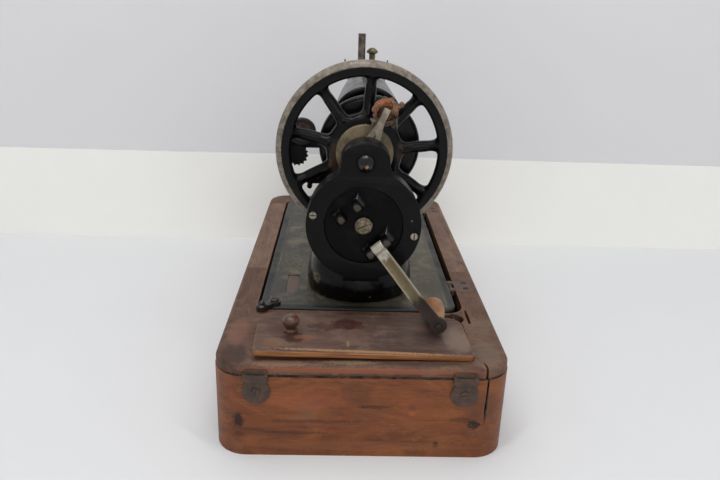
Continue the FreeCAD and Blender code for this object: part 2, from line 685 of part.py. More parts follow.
LEAF_TOP = DECK_TOP
leaves = []
hinge_pins = []
hinge_screws = []
fingers = []
for tag, middle in (("near", "hinge_near_y"), ("far", "hinge_far_y")):
    ends = (f"{middle} - hinge_leaf_long / 2", f"{middle} + hinge_leaf_long / 2")
    leaf = block(f"{tag}_leaf", ("well_right + 0.05", "well_right + hinge_leaf_wide"), ends,
                 (f"{LEAF_TOP} - hinge_leaf_thick - 0.2", f"{LEAF_TOP} - 0.2"))
    tongue = block(f"{tag}_tongue", ("hinge_x", "well_right + 0.1"), ends,
                   (f"{LEAF_TOP} - hinge_leaf_thick - 0.2", f"{LEAF_TOP} - 0.4"))
    barrel = rod(f"{tag}_barrel", "y", "hinge_knuckle", ends, ("hinge_x", "hinge_z"))
    bore = rod(f"{tag}_hinge_bore", "y", "hinge_pin", (f"{ends[0]} - 1", f"{ends[1]} + 1"),
               ("hinge_x", "hinge_z"))
    space = block(f"{tag}_finger_space", ("hinge_x - 8", "well_right + 0.04"),
                  (f"{middle} - finger_wide / 2 - gap", f"{middle} + finger_wide / 2 + gap"),
                  ("hinge_z - 8", f"{LEAF_TOP} + 1"))
    seats = [rod(f"{tag}_seat{side}", "z", "1.4", (f"{LEAF_TOP} - 4", f"{LEAF_TOP} + 1"),
                 ("well_right + hinge_leaf_wide * 0.6", f"{middle} + {side} * hinge_leaf_long * 0.28"))
             for side in (-1, 1)]
    sinks = [rod(f"{tag}_sink{side}", "z", "screw_small + 0.05", (f"{LEAF_TOP} - 1.2", f"{LEAF_TOP} + 1"),
                 ("well_right + hinge_leaf_wide * 0.6", f"{middle} + {side} * hinge_leaf_long * 0.28"))
             for side in (-1, 1)]
    leaves.append(cut(f"{tag}_leaf_cut", fuse(f"{tag}_leaf_solid", leaf, tongue, barrel), bore, space,
                      *seats, *sinks))
    hinge_pins.append(rod(f"{tag}_pin", "y", "hinge_pin", ends, ("hinge_x", "hinge_z")))
    for side in (-1, 1):
        hinge_screws.append(slotted_screw(
            f"{tag}_leaf_screw{side}", "screw_small", "0.9", "1.4", "0.9", "z",
            ("well_right + hinge_leaf_wide * 0.6", f"{middle} + {side} * hinge_leaf_long * 0.28",
             f"{LEAF_TOP} - 1.2")))
    sides = (f"{middle} - finger_wide / 2", f"{middle} + finger_wide / 2")
    arm = block(f"{tag}_finger_bar", ("bed_right - finger_long", "hinge_x"), sides,
                ("hinge_z - hinge_knuckle", f"hinge_z + 0.9"))
    eye = rod(f"{tag}_finger_eye", "y", "hinge_knuckle - 0.1", sides, ("hinge_x", "hinge_z"))
    eye_bore = rod(f"{tag}_finger_bore", "y", "hinge_pin + running",
                   (f"{sides[0]} - 1", f"{sides[1]} + 1"),
                   ("hinge_x", "hinge_z"))
    fingers.append(cut(f"{tag}_finger", fuse(f"{tag}_finger_solid", arm, eye), eye_bore))
node(group("leaves", *leaves), "hinge_leaves")
node(group("pins", *hinge_pins), "hinge_pins")
node(group("leaf_screws", *hinge_screws), "hinge_screws")
node(group("fingers", *fingers), "hinge_fingers")

# Lid of the compartment, built level with its hinge line at the origin, then tilted and askew as it lies

LID_TURN = FreeCAD.Rotation(FreeCAD.Vector(0, 0, 1), value("lid_skew")) * FreeCAD.Rotation(
    FreeCAD.Vector(0, 1, 0), value("lid_tilt"))
LID_BOTTOM = "-1.4"
LIP_BOTTOM = f"{LID_BOTTOM} + lid_under"
LID_TOP = f"{LIP_BOTTOM} + lid_lip"


def lid_shape(name, x, y, z, far_corner, near_corner):
    body = plate(name, [(x[0], y[0]), (x[1], y[0]), (x[1], y[1]), (x[0], y[1])], z)
    far_y = value(y[1])
    near_y = value(y[0])
    rounded(body, far_corner, lambda b: upright(b) and near(b.YMin, far_y))
    rounded(body, near_corner, lambda b: upright(b) and near(b.YMin, near_y))
    return body


lip = lid_shape("lid_lip_board", ("lid_right - lid_long", "lid_right"), ("-lid_wide / 2", "lid_wide / 2"),
                (LIP_BOTTOM, LID_TOP), "lid_far_corner", "lid_near_corner")
rounded(lip, "1.2", lambda b: near(b.ZMin, value(LID_TOP)) and near(b.ZMax, value(LID_TOP)))
under = lid_shape("lid_under_board", ("lid_right - lid_long + lid_lip_left", "lid_right"),
                  ("-lid_under_near", "lid_under_far"), (LID_BOTTOM, f"{LIP_BOTTOM} + 0.01"),
                  "lid_far_corner - 2",
                  "lid_near_corner / 2")
lid_bore = put(group("lid_bore", rod("lid_bore_rod", "y", "lid_pin", ("-lid_wide", "lid_wide"),
                                     ("0", "0"))),
               turn=LID_TURN.inverted())
knob_seat = rod("lid_knob_seat", "z", "2.5", (LID_BOTTOM, f"{LID_TOP} + 1"), ("-lid_knob_x", "0"))
lid_solid = cut("lid_solid", fuse("lid_boards", lip, under), lid_bore, knob_seat)
node(put(group("lid", lid_solid), "lid_pin_x", "lid_mid_y", "lid_pin_z", turn=LID_TURN),
     "compartment_lid")

knob = turned("knob", [
    ("0", f"-lid_lip"),
    ("2.5", f"-lid_lip"),
    ("2.5", "0"),
    ("lid_knob_ball * 0.8", "0"),
    ("lid_knob_ball * 0.8", "lid_knob_high * 0.13"),
    ("lid_knob_ball * 0.66", "lid_knob_high * 0.2"),
    ("lid_knob_ball * 0.6", "lid_knob_high * 0.34"),
    ("lid_knob_ball * 0.9", "lid_knob_high * 0.48"),
    ("lid_knob_ball", "lid_knob_high * 0.62"),
    ("lid_knob_ball * 0.95", "lid_knob_high * 0.77"),
    ("lid_knob_ball * 0.72", "lid_knob_high * 0.91"),
    ("lid_knob_ball * 0.35", "lid_knob_high * 0.99"),
    ("0", "lid_knob_high"),
], at=("-lid_knob_x", "0", LID_TOP))
node(put(group("knob_on_lid", knob), "lid_pin_x", "lid_mid_y", "lid_pin_z", turn=LID_TURN), "lid_knob")

lid_pins = [
    rod("lid_pin_near", "y", "lid_pin", ("bay_near - lid_pin_bite", "bay_near + 8"),
        ("lid_pin_x", "lid_pin_z")),
    rod("lid_pin_far", "y", "lid_pin", ("bay_far - 8", PIN_END), ("lid_pin_x", "lid_pin_z")),
]
node(group("lid_dowels", *lid_pins), "lid_pins")

# Bed plate

BED_X = ("bed_left", "bed_right")
BED_Y = ("bed_near", "bed_far")
PLATE_UNDER = "bed_top - plate_thick"


def inset(span, amount):
    return (f"{span[0]} + {amount}", f"{span[1]} - {amount}")


bed_blank = rounded_board("bed_blank", BED_X, BED_Y, (BED_UNDER, "bed_top"), "bed_corner", "bed_edge")
bed_hollow = rounded_board("bed_hollow", inset(BED_X, "skirt_wide"), inset(BED_Y, "skirt_wide"),
                           (f"{BED_UNDER} - 1", "bed_top - bed_thick"), "bed_corner - skirt_wide")
pad_recess = rounded_board("pad_recess", ("pad_left", "pad_left + pad_wide"),
                           ("pad_near", "pad_near + pad_long"),
                           ("bed_top - pad_deep", "bed_top + 1"), "2.5")
plate_seat = block("plate_seat", ("bed_left - 1", "bed_right + 1"),
                   ("plate_near - 0.05", "plate_far + 0.05"),
                   (PLATE_UNDER, "bed_top + 1"))
needle_well = block("needle_well", ("needle_plate_left + 6", "needle_plate_right - 6"),
                    ("plate_near + 5", "plate_far - 5"), (f"{BED_UNDER} - 1", "bed_top"))
pillar_port = rod("pillar_port", "z", "pillar_foot - 10", (f"{BED_UNDER} - 1", "bed_top + 1"),
                  ("pillar_x", "pillar_y"))
finger_ports = [block(f"{tag}_finger_port", ("bed_right - finger_long", "bed_right + 1"),
                      (f"{middle} - finger_wide / 2", f"{middle} + finger_wide / 2"),
                      (f"{BED_UNDER} - 1", "hinge_z + 0.9")) for tag, middle in
                (("near", "hinge_near_y"), ("far", "hinge_far_y"))]
knuckle_ports = [block(f"{tag}_knuckle_port", ("hinge_x - hinge_knuckle - gap", "bed_right + 1"),
                       (f"{middle} - hinge_leaf_long / 2 - gap", f"{middle} + hinge_leaf_long / 2 + gap"),
                       (f"{BED_UNDER} - 1", "hinge_z + hinge_knuckle + gap")) for tag, middle in
                 (("near", "hinge_near_y"), ("far", "hinge_far_y"))]
catch_tap = rod("catch_tap", "z", "2", ("bed_top - 4", "bed_top + 1"), ("catch_pivot_x", "catch_pivot_y"))
shuttle_tap = rod("shuttle_tap", "z", "3", (f"{BED_UNDER} - 1", "bed_top - 1"),
                  ("shuttle_pivot_x", "shuttle_pivot_y"))
plate_screw_spots = [("needle_plate_left + 4", "needle_y - 14"),
                     ("needle_plate_right - 4", "needle_y + 14")]
plate_taps = [rod(f"plate_tap{i}", "z", "1.5", ("bed_top - 4", "bed_top + 1"), spot)
              for i, spot in enumerate(plate_screw_spots)]
bed = cut("bed_cut", bed_blank, bed_hollow, pad_recess, plate_seat, needle_well, pillar_port,
          *finger_ports,
          *knuckle_ports, catch_tap, shuttle_tap, *plate_taps)
node(bed, "bed_plate")

# Needle plate and the two slide plates beside it

needle_sheet = block("needle_sheet", ("needle_plate_left", "needle_plate_right"),
                     ("plate_near", "plate_far"),
                     (PLATE_UNDER, "bed_top"))
needle_hole = rod("needle_hole", "z", "needle_radius + 0.6", (f"{PLATE_UNDER} - 1", "bed_top + 1"),
                  ("needle_x", "needle_y"))
feed_slots = [block(f"feed_slot{i}", ("needle_x + 3", "needle_x + 19"),
                    (f"needle_y + {off} - 1.3", f"needle_y + {off} + 1.3"),
                    (f"{PLATE_UNDER} - 1", "bed_top + 1")) for i, off in enumerate((-4, 4))]
sheet_taps = [rod(f"sheet_tap{i}", "z", "screw_small + 0.05", (f"{PLATE_UNDER} - 1", "bed_top + 1"), spot)
              for i, spot in enumerate(plate_screw_spots)]
node(cut("needle_plate_cut", needle_sheet, needle_hole, *feed_slots, *sheet_taps), "needle_plate")
node(block("front_slide", ("bed_left + 0.5", "needle_plate_left - gap"),
           inset(("plate_near", "plate_far"), "0.1"),
           (f"{PLATE_UNDER} + 0.05", "bed_top")), "slide_plate_front")
node(block("back_slide", ("needle_plate_right + gap", "bed_right - back_travel - 0.5"),
           inset(("plate_near", "plate_far"), "0.1"),
           (f"{PLATE_UNDER} + 0.05", "bed_top")), "slide_plate_back")

# Arm casting: leaning pillar, round end behind the wheel, tapering arm, box-shaped head


def ring_section(name, radius, x, y, z, upright_plane):
    item = doc.addObject("Part::Circle", name)
    bind(item, Radius=radius)
    return put(item, x, y, z, turn=ALONG["z" if upright_plane else "y"])


def loft(name, sections):
    item = doc.addObject("Part::Loft", name)
    item.Sections = sections
    item.Solid = True
    item.Ruled = False
    return item


def pillar_loft(name, wall, bottom):
    steps = [
        ("pillar_foot", bottom, "pillar_y"),
        ("pillar_shoulder", "pillar_shoulder_z", "pillar_y + 1"),
        ("pillar_waist", "pillar_waist_z", "pillar_y + 10"),
        ("pillar_neck", "pillar_neck_z", "pillar_y + 16"),
        ("pillar_neck - 4", "shaft_z", "pillar_y + 17"),
    ]
    return loft(name, [ring_section(f"{name}_{i}", f"{radius} - {wall}", "pillar_x", y, z, True)
                       for i, (radius, z, y) in enumerate(steps)])


HEAD_MID = "(head_left + head_right) / 2"


def arm_loft(name, wall):
    steps = [
        ("arm_near_radius", "bell_x - 1", "arm_near_y", "arm_near_z"),
        ("arm_mid_radius", "bell_x", "arm_mid_y", "arm_mid_z"),
        ("arm_far_radius", "bell_x + 1.6", "arm_far_y", "arm_far_z"),
        ("arm_end_radius", HEAD_MID, "arm_end_y", "arm_end_z"),
    ]
    return loft(name, [ring_section(f"{name}_{i}", f"{radius} - {wall}", x, y, z, False)
                       for i, (radius, x, y, z) in enumerate(steps)])


pillar = pillar_loft("pillar", "0", "bed_top")
arm = arm_loft("arm", "0")
bell = turned("bell", [
    ("0", "bell_front"),
    ("bell_radius - 2", "bell_front"),
    ("bell_radius", "bell_front + 2"),
    ("bell_radius", "bell_front + bell_thick"),
    ("bell_radius - 5", "bell_front + bell_thick + 6"),
    ("arm_near_radius", "bell_front + bell_thick + 22"),
    ("0", "bell_front + bell_thick + 22"),
], axis="y", at=("bell_x", "0", "shaft_z"))
head = plate("head", [("head_left", "head_near"), ("head_right", "head_near"), ("head_right", "head_far"),
                      ("head_left", "head_far")], ("head_bottom", "head_top"))
rounded(head, "head_edge", lambda b: upright(b) and near(b.YMin, value("head_near")))
clamp_boss = rod("clamp_boss", "y", "clamp_boss", ("clamp_boss_front", "pillar_y"),
                 ("shaft_x", "clamp_boss_z"))
pillar_inside = pillar_loft("pillar_inside", "casting_wall", "bed_top - 1")
arm_inside = arm_loft("arm_inside", "casting_wall")
head_inside = block("head_inside", inset(("head_left", "head_right"), "head_wall"),
                    ("head_near + head_wall", "head_far + 1"),
                    ("head_bottom + head_wall", "head_top - head_wall"))
shaft_bore = rod("shaft_bore", "y", "shaft_radius + running",
                 ("bell_front - 1", "head_near + head_wall + 1"),
                 ("shaft_x", "shaft_z"))
needle_bore = rod("needle_bore", "z", "needle_bar_radius + running", ("head_bottom - 1", "head_top + 1"),
                  ("needle_x", "needle_y"))
presser_bore = rod("presser_bore", "z", "presser_radius + running", ("head_bottom - 1", "head_top + 1"),
                   ("presser_x", "needle_y"))
takeup_bore = rod("takeup_bore", "x", "2 + running", ("head_left - 1", "head_right + 1"),
                  ("takeup_pivot_y", "takeup_pivot_z"))
lifter_bore = rod("lifter_bore", "x", "2 + running", ("head_right - head_wall - 1", "head_right + 1"),
                  ("needle_y - presser_radius - 2.3", "head_bottom + 16"))
neck_bore = rod("neck_bore", "z", "presser_knob_neck + running",
                ("head_top - head_wall - 1", "head_top + 1"),
                ("presser_x", "needle_y"))
casting = cut("casting_cut", fuse("casting_solid", pillar, arm, bell, head, clamp_boss), pillar_inside,
              arm_inside,
              head_inside, shaft_bore, needle_bore, presser_bore, neck_bore, takeup_bore, lifter_bore)
node(casting, "arm_casting")

face_slot = block("face_slot", ("takeup_x - takeup_thick / 2 - gap", "takeup_x + takeup_thick / 2 + gap"),
                  ("head_far - 1", "head_far + face_thick + 1"),
                  ("takeup_pivot_z - 30", "takeup_pivot_z + 5"))
face = plate("face", [("head_left", "head_bottom"), ("head_right", "head_bottom"),
                      ("head_right", "head_top"),
                      ("head_left", "head_top")], ("head_far", "head_far + face_thick"), "XZ_Plane")
rounded(face, "3", lambda b: b.XLength < 1e-4 and b.ZLength < 1e-4)
face_spots = [(HEAD_MID, "head_top - 2.5"), (HEAD_MID, "head_bottom + 2.5")]
face_holes = [rod(f"face_hole{i}", "y", "1.2", ("head_far - 1", "head_far + face_thick + 1"), spot)
              for i, spot in enumerate(face_spots)]
node(cut("face_cut", face, face_slot, *face_holes), "face_plate")

plate_screws = [slotted_screw(f"plate_screw{i}", "screw_small", "0.9", "1.5", "2.9", "z",
                              (*spot, f"{PLATE_UNDER} + 0.05"))
                for i, spot in enumerate(plate_screw_spots)]
plate_screws += [slotted_screw(f"face_screw{i}", "2.2", "1", "1.2", "face_thick", "y",
                               (spot[0], "head_far + face_thick", spot[1])) for i,
                               spot in enumerate(face_spots)]
node(group("plate_fixings", *plate_screws), "plate_screws")

ears = []
for side, edge, reach in (("left", "head_left", -4.3), ("right", "head_right", 4.6)):
    spread = (f"{edge} + {reach}", edge) if reach < 0 else (edge, f"{edge} + {reach}")
    foot = rod(f"guide_foot_{side}", "x", "1.1", spread, ("head_far - 3", "head_top - 5"))
    post = rod(f"guide_post_{side}", "z", "0.8", ("head_top - 5", "head_top + 2.6"),
               (f"{edge} + {reach} * 0.8", "head_far - 3"))
    ears.append(fuse(f"guide_{side}", foot, post))
node(group("guides", *ears), "thread_guides")

# Bed catch lever: pivots on a shoulder screw near the bed's left corner, its boss lies over the deck

LEVER_BOTTOM = "bed_top + 0.05"
lever_pivot = rod("lever_pivot", "z", "5", (LEVER_BOTTOM, f"{LEVER_BOTTOM} + catch_lever_thick"),
                  ("catch_pivot_x", "catch_pivot_y"))
lever_boss = turned("lever_boss", [
    ("0", "0"),
    ("catch_knob", "0"),
    ("catch_knob", "3.4"),
    ("catch_knob - 1.2", "4.4"),
    ("2.6", "4.6"),
    ("2.4", "6.2"),
    ("1.4", "7.2"),
    ("0", "7.4"),
], at=("catch_knob_x", "catch_knob_y", LEVER_BOTTOM))
LEVER_RUN = (value("catch_pivot_x - catch_knob_x"), value("catch_pivot_y - catch_knob_y"))
lever_bar = put(block("lever_bar_level", ("0", f"{math.hypot(*LEVER_RUN)}"), ("-3.6", "3.6"),
                      ("0", "catch_lever_thick")), "0", "-3.6", "0")
lever_swung = put(group("lever_bar", lever_bar), "catch_knob_x", "catch_knob_y", LEVER_BOTTOM,
                  turn=FreeCAD.Rotation(FreeCAD.Vector(0, 0, 1),
                                        math.degrees(math.atan2(LEVER_RUN[1], LEVER_RUN[0]))))
lever_hole = rod("lever_hole", "z", "2 + running", (f"{LEVER_BOTTOM} - 1", f"{LEVER_BOTTOM} + 6"),
                 ("catch_pivot_x", "catch_pivot_y"))
node(cut("lever_cut", fuse("lever_solid", lever_pivot, lever_boss, lever_swung), lever_hole), "bed_catch")
node(slotted_screw("lever_screw", "3.6", "1.6", "2", "catch_lever_thick + 3.9", "z",
                   ("catch_pivot_x", "catch_pivot_y", f"{LEVER_BOTTOM} + catch_lever_thick + 0.05")),
                   "bed_catch_screw")

# Main shaft with its cam, handwheel and clutch disc

HUB_FRONT = "wheel_front + 0.6"
HUB_BACK = "wheel_front + wheel_thick + hub_dish"
CLUTCH_BACK = f"{HUB_FRONT} - gap"
CLUTCH_FRONT = f"{CLUTCH_BACK} - clutch_thick"
CAM_NEAR = "head_near + head_wall + gap"
SHAFT_END = f"{CAM_NEAR} + cam_thick"

node(turned("shaft", [
    ("0", f"{CLUTCH_FRONT} - 0.6"),
    ("shaft_radius - 1", f"{CLUTCH_FRONT} - 0.6"),
    ("shaft_radius", f"{CLUTCH_FRONT} + 0.4"),
    ("shaft_radius", CAM_NEAR),
    ("cam_radius", CAM_NEAR),
    ("cam_radius", SHAFT_END),
    ("0", SHAFT_END),
], axis="y", at=("shaft_x", "0", "shaft_z")), "main_shaft")

rim = turned("rim", [
    ("rim_inner", "wheel_front + 1"),
    ("rim_inner + 1", "wheel_front"),
    ("wheel_radius", "wheel_front"),
    ("wheel_radius", "wheel_front + wheel_thick"),
    ("rim_inner + rim_flare + 0.6", "wheel_front + wheel_thick"),
    ("rim_inner + rim_flare", "wheel_front + wheel_thick - 1"),
    ("rim_inner", "wheel_front + wheel_thick * 0.35"),
])
rounded(rim, "rim_round", lambda b: near(b.XLength, 2 * value("wheel_radius")) and b.ZLength < 1e-3)
hub = turned("hub", [
    ("shaft_radius", HUB_FRONT),
    ("hub_radius - 3", HUB_FRONT),
    ("hub_radius", f"{HUB_FRONT} + 3"),
    ("hub_radius", f"{HUB_BACK} - 3"),
    ("hub_radius - 4", HUB_BACK),
    ("14", HUB_BACK),
    ("14", "bell_front - gap"),
    ("shaft_radius", "bell_front - gap"),
])
BETWEEN_SPOKES = FreeCAD.Rotation(FreeCAD.Vector(0, 0, 1), -value("spoke_first + 180 / spoke_count"))
put(rim, turn=BETWEEN_SPOKES)
put(hub, turn=BETWEEN_SPOKES)
SPOKE_MID = "wheel_front + wheel_thick / 2"
spokes = []
for i in range(round(value("spoke_count"))):
    angle = f"(spoke_first + {i} * 360 / spoke_count)"
    spoke = doc.addObject("Part::Cone", f"spoke{i}")
    bind(spoke, Radius1="spoke_root", Radius2="spoke_tip", Height="rim_inner - hub_radius + 7")
    degrees = value(angle)
    turn = FreeCAD.Rotation(FreeCAD.Vector(0, 0, 1), -degrees) * ALONG["x"]
    spokes.append(put(spoke, f"(hub_radius - 4) * cos({angle})", f"-(hub_radius - 4) * sin({angle})",
                      SPOKE_MID,
                      turn=turn))
wheel = fuse("wheel_solid", rim, hub, *spokes)
node(put(group("wheel", wheel), "shaft_x", "0", "shaft_z", turn=ALONG["y"]), "handwheel")

node(turned("clutch", [
    ("shaft_radius + running", CLUTCH_BACK),
    ("clutch_radius", CLUTCH_BACK),
    ("clutch_radius", f"{CLUTCH_FRONT} + 0.8"),
    ("clutch_radius - 0.8", CLUTCH_FRONT),
    ("shaft_radius + running", CLUTCH_FRONT),
], axis="y", at=("shaft_x", "0", "shaft_z")), "clutch_disc")

# Needle bar, presser bar, take-up lever and presser lifter

bar = rod("needle_rod", "z", "needle_bar_radius", ("needle_bar_bottom", "needle_bar_top"),
          ("needle_x", "needle_y"))
node(bar, "needle_bar")
node(turned("needle", [
    ("0", "needle_tip"),
    ("needle_radius", "needle_tip + 6"),
    ("needle_radius", "needle_bar_bottom - clamp_high"),
    ("clamp_radius", "needle_bar_bottom - clamp_high"),
    ("clamp_radius", "needle_bar_bottom"),
    ("0", "needle_bar_bottom"),
], at=("needle_x", "needle_y", "0")), "needle_and_clamp")

FOOT_BOTTOM = "bed_top + gap"
presser = rod("presser_rod", "z", "presser_radius",
              (f"{FOOT_BOTTOM} + foot_thick", "head_bottom + 39"), ("presser_x", "needle_y"))
presser_tip = rod("presser_tip_rod", "z", "presser_tip",
                  ("head_bottom + 38", "head_top + 1 - presser_travel"), ("presser_x", "needle_y"))
foot = block("foot", ("presser_x - foot_long * 0.68", "presser_x + foot_long * 0.32"),
             ("needle_y - foot_wide / 2", "needle_y + foot_wide / 2"),
             (FOOT_BOTTOM, f"{FOOT_BOTTOM} + foot_thick"))
foot_gap = block("foot_gap", ("presser_x - foot_long", "needle_x + 4"),
                 ("needle_y - 1.8", "needle_y + 1.8"),
                 ("bed_top", f"{FOOT_BOTTOM} + foot_thick + 1"))
ankle = taper("ankle", "z", ("4.6", "presser_radius"), (f"{FOOT_BOTTOM} + 0.5", f"{FOOT_BOTTOM} + 12"),
              ("presser_x", "needle_y"))
LIFTER_Z = "head_bottom + 16"
LIFTER_Y = "needle_y - presser_radius - 2.3"
collar = rod("lift_collar", "z", "presser_radius + 3.5", (f"{LIFTER_Z} + 2.3", f"{LIFTER_Z} + 7.3"),
             ("presser_x", "needle_y"))
node(fuse("presser_solid", presser, presser_tip, cut("foot_cut", foot, foot_gap), ankle, collar),
     "presser_bar")
node(turned("pressure_knob_body", [
    ("presser_radius + running", "head_top - head_wall"),
    ("presser_knob_neck", "head_top - head_wall"),
    ("presser_knob_neck", "head_top + gap"),
    ("5.4", "head_top + gap"),
    ("3.4", "head_top + 2.5"),
    ("3.4", "presser_knob_top - 7"),
    ("presser_knob_radius", "presser_knob_top - 5.4"),
    ("presser_knob_radius", "presser_knob_top - 3.4"),
    ("3.6", "presser_knob_top - 1"),
    ("1.6", "presser_knob_top"),
    ("0", "presser_knob_top"),
    ("0", "head_top + 2.4"),
    ("presser_radius + running", "head_top + 2.4"),
], at=("presser_x", "needle_y", "0")), "pressure_knob")

takeup_arm = block("takeup_bar", ("takeup_x - takeup_thick / 2", "takeup_x + takeup_thick / 2"),
                   ("takeup_pivot_y", "takeup_pivot_y + takeup_reach"),
                   ("takeup_pivot_z - 2.4", "takeup_pivot_z + 2.4"))
takeup_eye = rod("takeup_eye", "x", "4.4", ("takeup_x - takeup_thick / 2", "takeup_x + takeup_thick / 2"),
                 ("takeup_pivot_y + takeup_reach", "takeup_pivot_z"))
takeup_hole = rod("takeup_hole", "x", "1.6", ("takeup_x - 5", "takeup_x + 5"),
                  ("takeup_pivot_y + takeup_reach", "takeup_pivot_z"))
takeup_pin = rod("takeup_pin", "x", "2", ("head_left", "head_right"),
                 ("takeup_pivot_y", "takeup_pivot_z"))
takeup_hub = rod("takeup_hub", "x", "4.2", ("takeup_x - 3", "takeup_x + 3"),
                 ("takeup_pivot_y", "takeup_pivot_z"))
node(cut("takeup_cut", fuse("takeup_solid", takeup_arm, takeup_eye, takeup_pin, takeup_hub), takeup_hole),
     "take_up_lever")

LIFTER_OUT = "head_right + gap"
lifter_pin = rod("lifter_pin", "x", "2", ("presser_x + presser_radius - 0.5", f"{LIFTER_OUT} + 3"),
                 (LIFTER_Y, LIFTER_Z))
TOE_X = ("presser_x + presser_radius + gap", "presser_x + presser_radius + gap + 2.8")
lifter_toe = rod("lifter_toe", "x", "1.2", TOE_X, (f"{LIFTER_Y} + 5.5", f"{LIFTER_Z} - 0.5"))
toe_web = block("toe_web", TOE_X, (LIFTER_Y, f"{LIFTER_Y} + 5.5"),
                (f"{LIFTER_Z} - 1.6", f"{LIFTER_Z} + 0.6"))
lifter_boss = rod("lifter_boss", "x", "4.5", (LIFTER_OUT, f"{LIFTER_OUT} + 3"), (LIFTER_Y, LIFTER_Z))
lifter_handle = block("lifter_handle", (LIFTER_OUT, f"{LIFTER_OUT} + 3"),
                      (f"{LIFTER_Y} - 2.6", f"{LIFTER_Y} + 2.6"),
                      (f"{LIFTER_Z} - 30", LIFTER_Z))
lifter_grip = rod("lifter_grip", "x", "4", (LIFTER_OUT, f"{LIFTER_OUT} + 3"),
                  (LIFTER_Y, f"{LIFTER_Z} - 30"))
node(fuse("lifter_solid", lifter_pin, lifter_toe, toe_web, lifter_boss, lifter_handle, lifter_grip),
     "presser_lifter")

# Crank bracket: drum for the gears, lobe over the pinion, clamp round the boss on the pillar

HOUSING_BACK = "housing_front + housing_deep"
GEAR_BACK = f"{HOUSING_BACK} - housing_wall - gap"
GEAR_FRONT = f"{GEAR_BACK} - gear_width"
drum = rod("drum", "y", "housing_radius", ("housing_front", HOUSING_BACK), ("shaft_x", "gear_z"))


def lobe_section(name, inset, y):
    item = doc.addObject("Part::Ellipse", name)
    bind(item, MajorRadius=f"lobe_half - {inset}", MinorRadius=f"lobe_high - {inset}")
    return put(item, "shaft_x", y, "shaft_z", turn=FreeCAD.Rotation(FreeCAD.Vector(1, 0, 0), 90))


lobe = loft("lobe", [
    lobe_section("lobe_front", "lobe_round * 0.8", "housing_front"),
    lobe_section("lobe_edge", "lobe_round * 0.15", "housing_front + lobe_round * 0.5"),
    lobe_section("lobe_full", "0", "housing_front + lobe_round * 1.3"),
    lobe_section("lobe_back", "0", HOUSING_BACK),
])
lobe.Ruled = True
lobe_neck = plate("lobe_neck", [
    ("shaft_x - lobe_half - 3", "gear_z + 22"),
    ("shaft_x + lobe_half + 3", "gear_z + 22"),
    ("shaft_x + lobe_half + 2.3", "ear_flat"),
    ("shaft_x + lobe_half - 0.3", "shaft_z - 2"),
    ("shaft_x - lobe_half + 0.3", "shaft_z - 2"),
    ("shaft_x - lobe_half - 2.3", "ear_flat"),
], ("housing_front", HOUSING_BACK), "XZ_Plane")
neck = block("bracket_neck", ("shaft_x - clamp_boss - bracket_wall",
                              "shaft_x + clamp_boss + bracket_wall"),
             (f"{HOUSING_BACK} - 2", "clamp_boss_front + 2"),
             ("clamp_boss_z - clamp_boss - bracket_wall", "clamp_boss_z + clamp_boss + bracket_wall - 1"))
clamp_ring = rod("clamp_ring", "y", "clamp_boss + bracket_wall",
                 (f"{HOUSING_BACK} - 2", "clamp_boss_front + 9"),
                 ("shaft_x", "clamp_boss_z"))
INSIDE = ("housing_front + cover_thick", f"{HOUSING_BACK} - housing_wall")
drum_inside = rod("drum_inside", "y", "housing_radius - housing_wall", INSIDE, ("shaft_x", "gear_z"))
PINION_TIP = "gear_module * (pinion_teeth / 2 + 0.75)"
lobe_inside = rod("lobe_inside", "y", f"{PINION_TIP} + 0.6", INSIDE, ("shaft_x", "shaft_z"))
ring_seat = rod("ring_seat", "y", "housing_radius + 1",
                ("housing_front - 1", "housing_front + cover_thick"),
                ("shaft_x", "gear_z"))
seat_keep = block("seat_keep", ("shaft_x - 60", "shaft_x + 60"),
                  ("housing_front - 2", "housing_front + cover_thick + 1"),
                  ("ear_flat", "ear_flat + 60"))
ring_space = cut("ring_space", ring_seat, seat_keep)
boss_hole = rod("boss_hole", "y", "clamp_boss", ("clamp_boss_front", "pillar_y"),
                ("shaft_x", "clamp_boss_z"))
sleeve_hole = rod("sleeve_hole", "y", "sleeve_radius + running",
                  (f"{HOUSING_BACK} - housing_wall - 1", f"{HOUSING_BACK} + 1"),
                  ("shaft_x", "shaft_z"))
stud_hole = rod("stud_hole", "y", "pinion_stud_radius",
                ("housing_front - 1", "housing_front + cover_thick + 1"),
                ("shaft_x", "shaft_z"))
gear_stud_hole = rod("gear_stud_hole", "y", "gear_stud_radius",
                     (f"{HOUSING_BACK} - housing_wall - 1", f"{HOUSING_BACK} + 1"),
                     ("shaft_x", "gear_z"))
clamp_screw_hole = rod("clamp_screw_hole", "z", "2.2",
    ("clamp_boss_z - clamp_boss - bracket_wall - 1", "clamp_boss_z - clamp_boss + 0.5"),
                       ("shaft_x", "clamp_boss_front + 4"))
bracket_solid = fuse("bracket_solid", drum, lobe, lobe_neck, neck, clamp_ring)
bracket = cut("bracket_cut", bracket_solid, drum_inside, lobe_inside, ring_space, boss_hole, sleeve_hole,
              stud_hole,
              gear_stud_hole, clamp_screw_hole, pillar_loft("pillar_for_bracket", "-0.1", "bed_top"))
node(bracket, "crank_bracket")
clamp_screw = put(slotted_screw("clamp_screw", "4", "2.2", "2.2", "bracket_wall - 0.6", "z",
                                ("0", "0", "0")),
                  "shaft_x", "clamp_boss_front + 4", "clamp_boss_z - clamp_boss - bracket_wall",
                  turn=FreeCAD.Rotation(FreeCAD.Vector(1, 0, 0), 180))
node(clamp_screw, "bracket_screw")

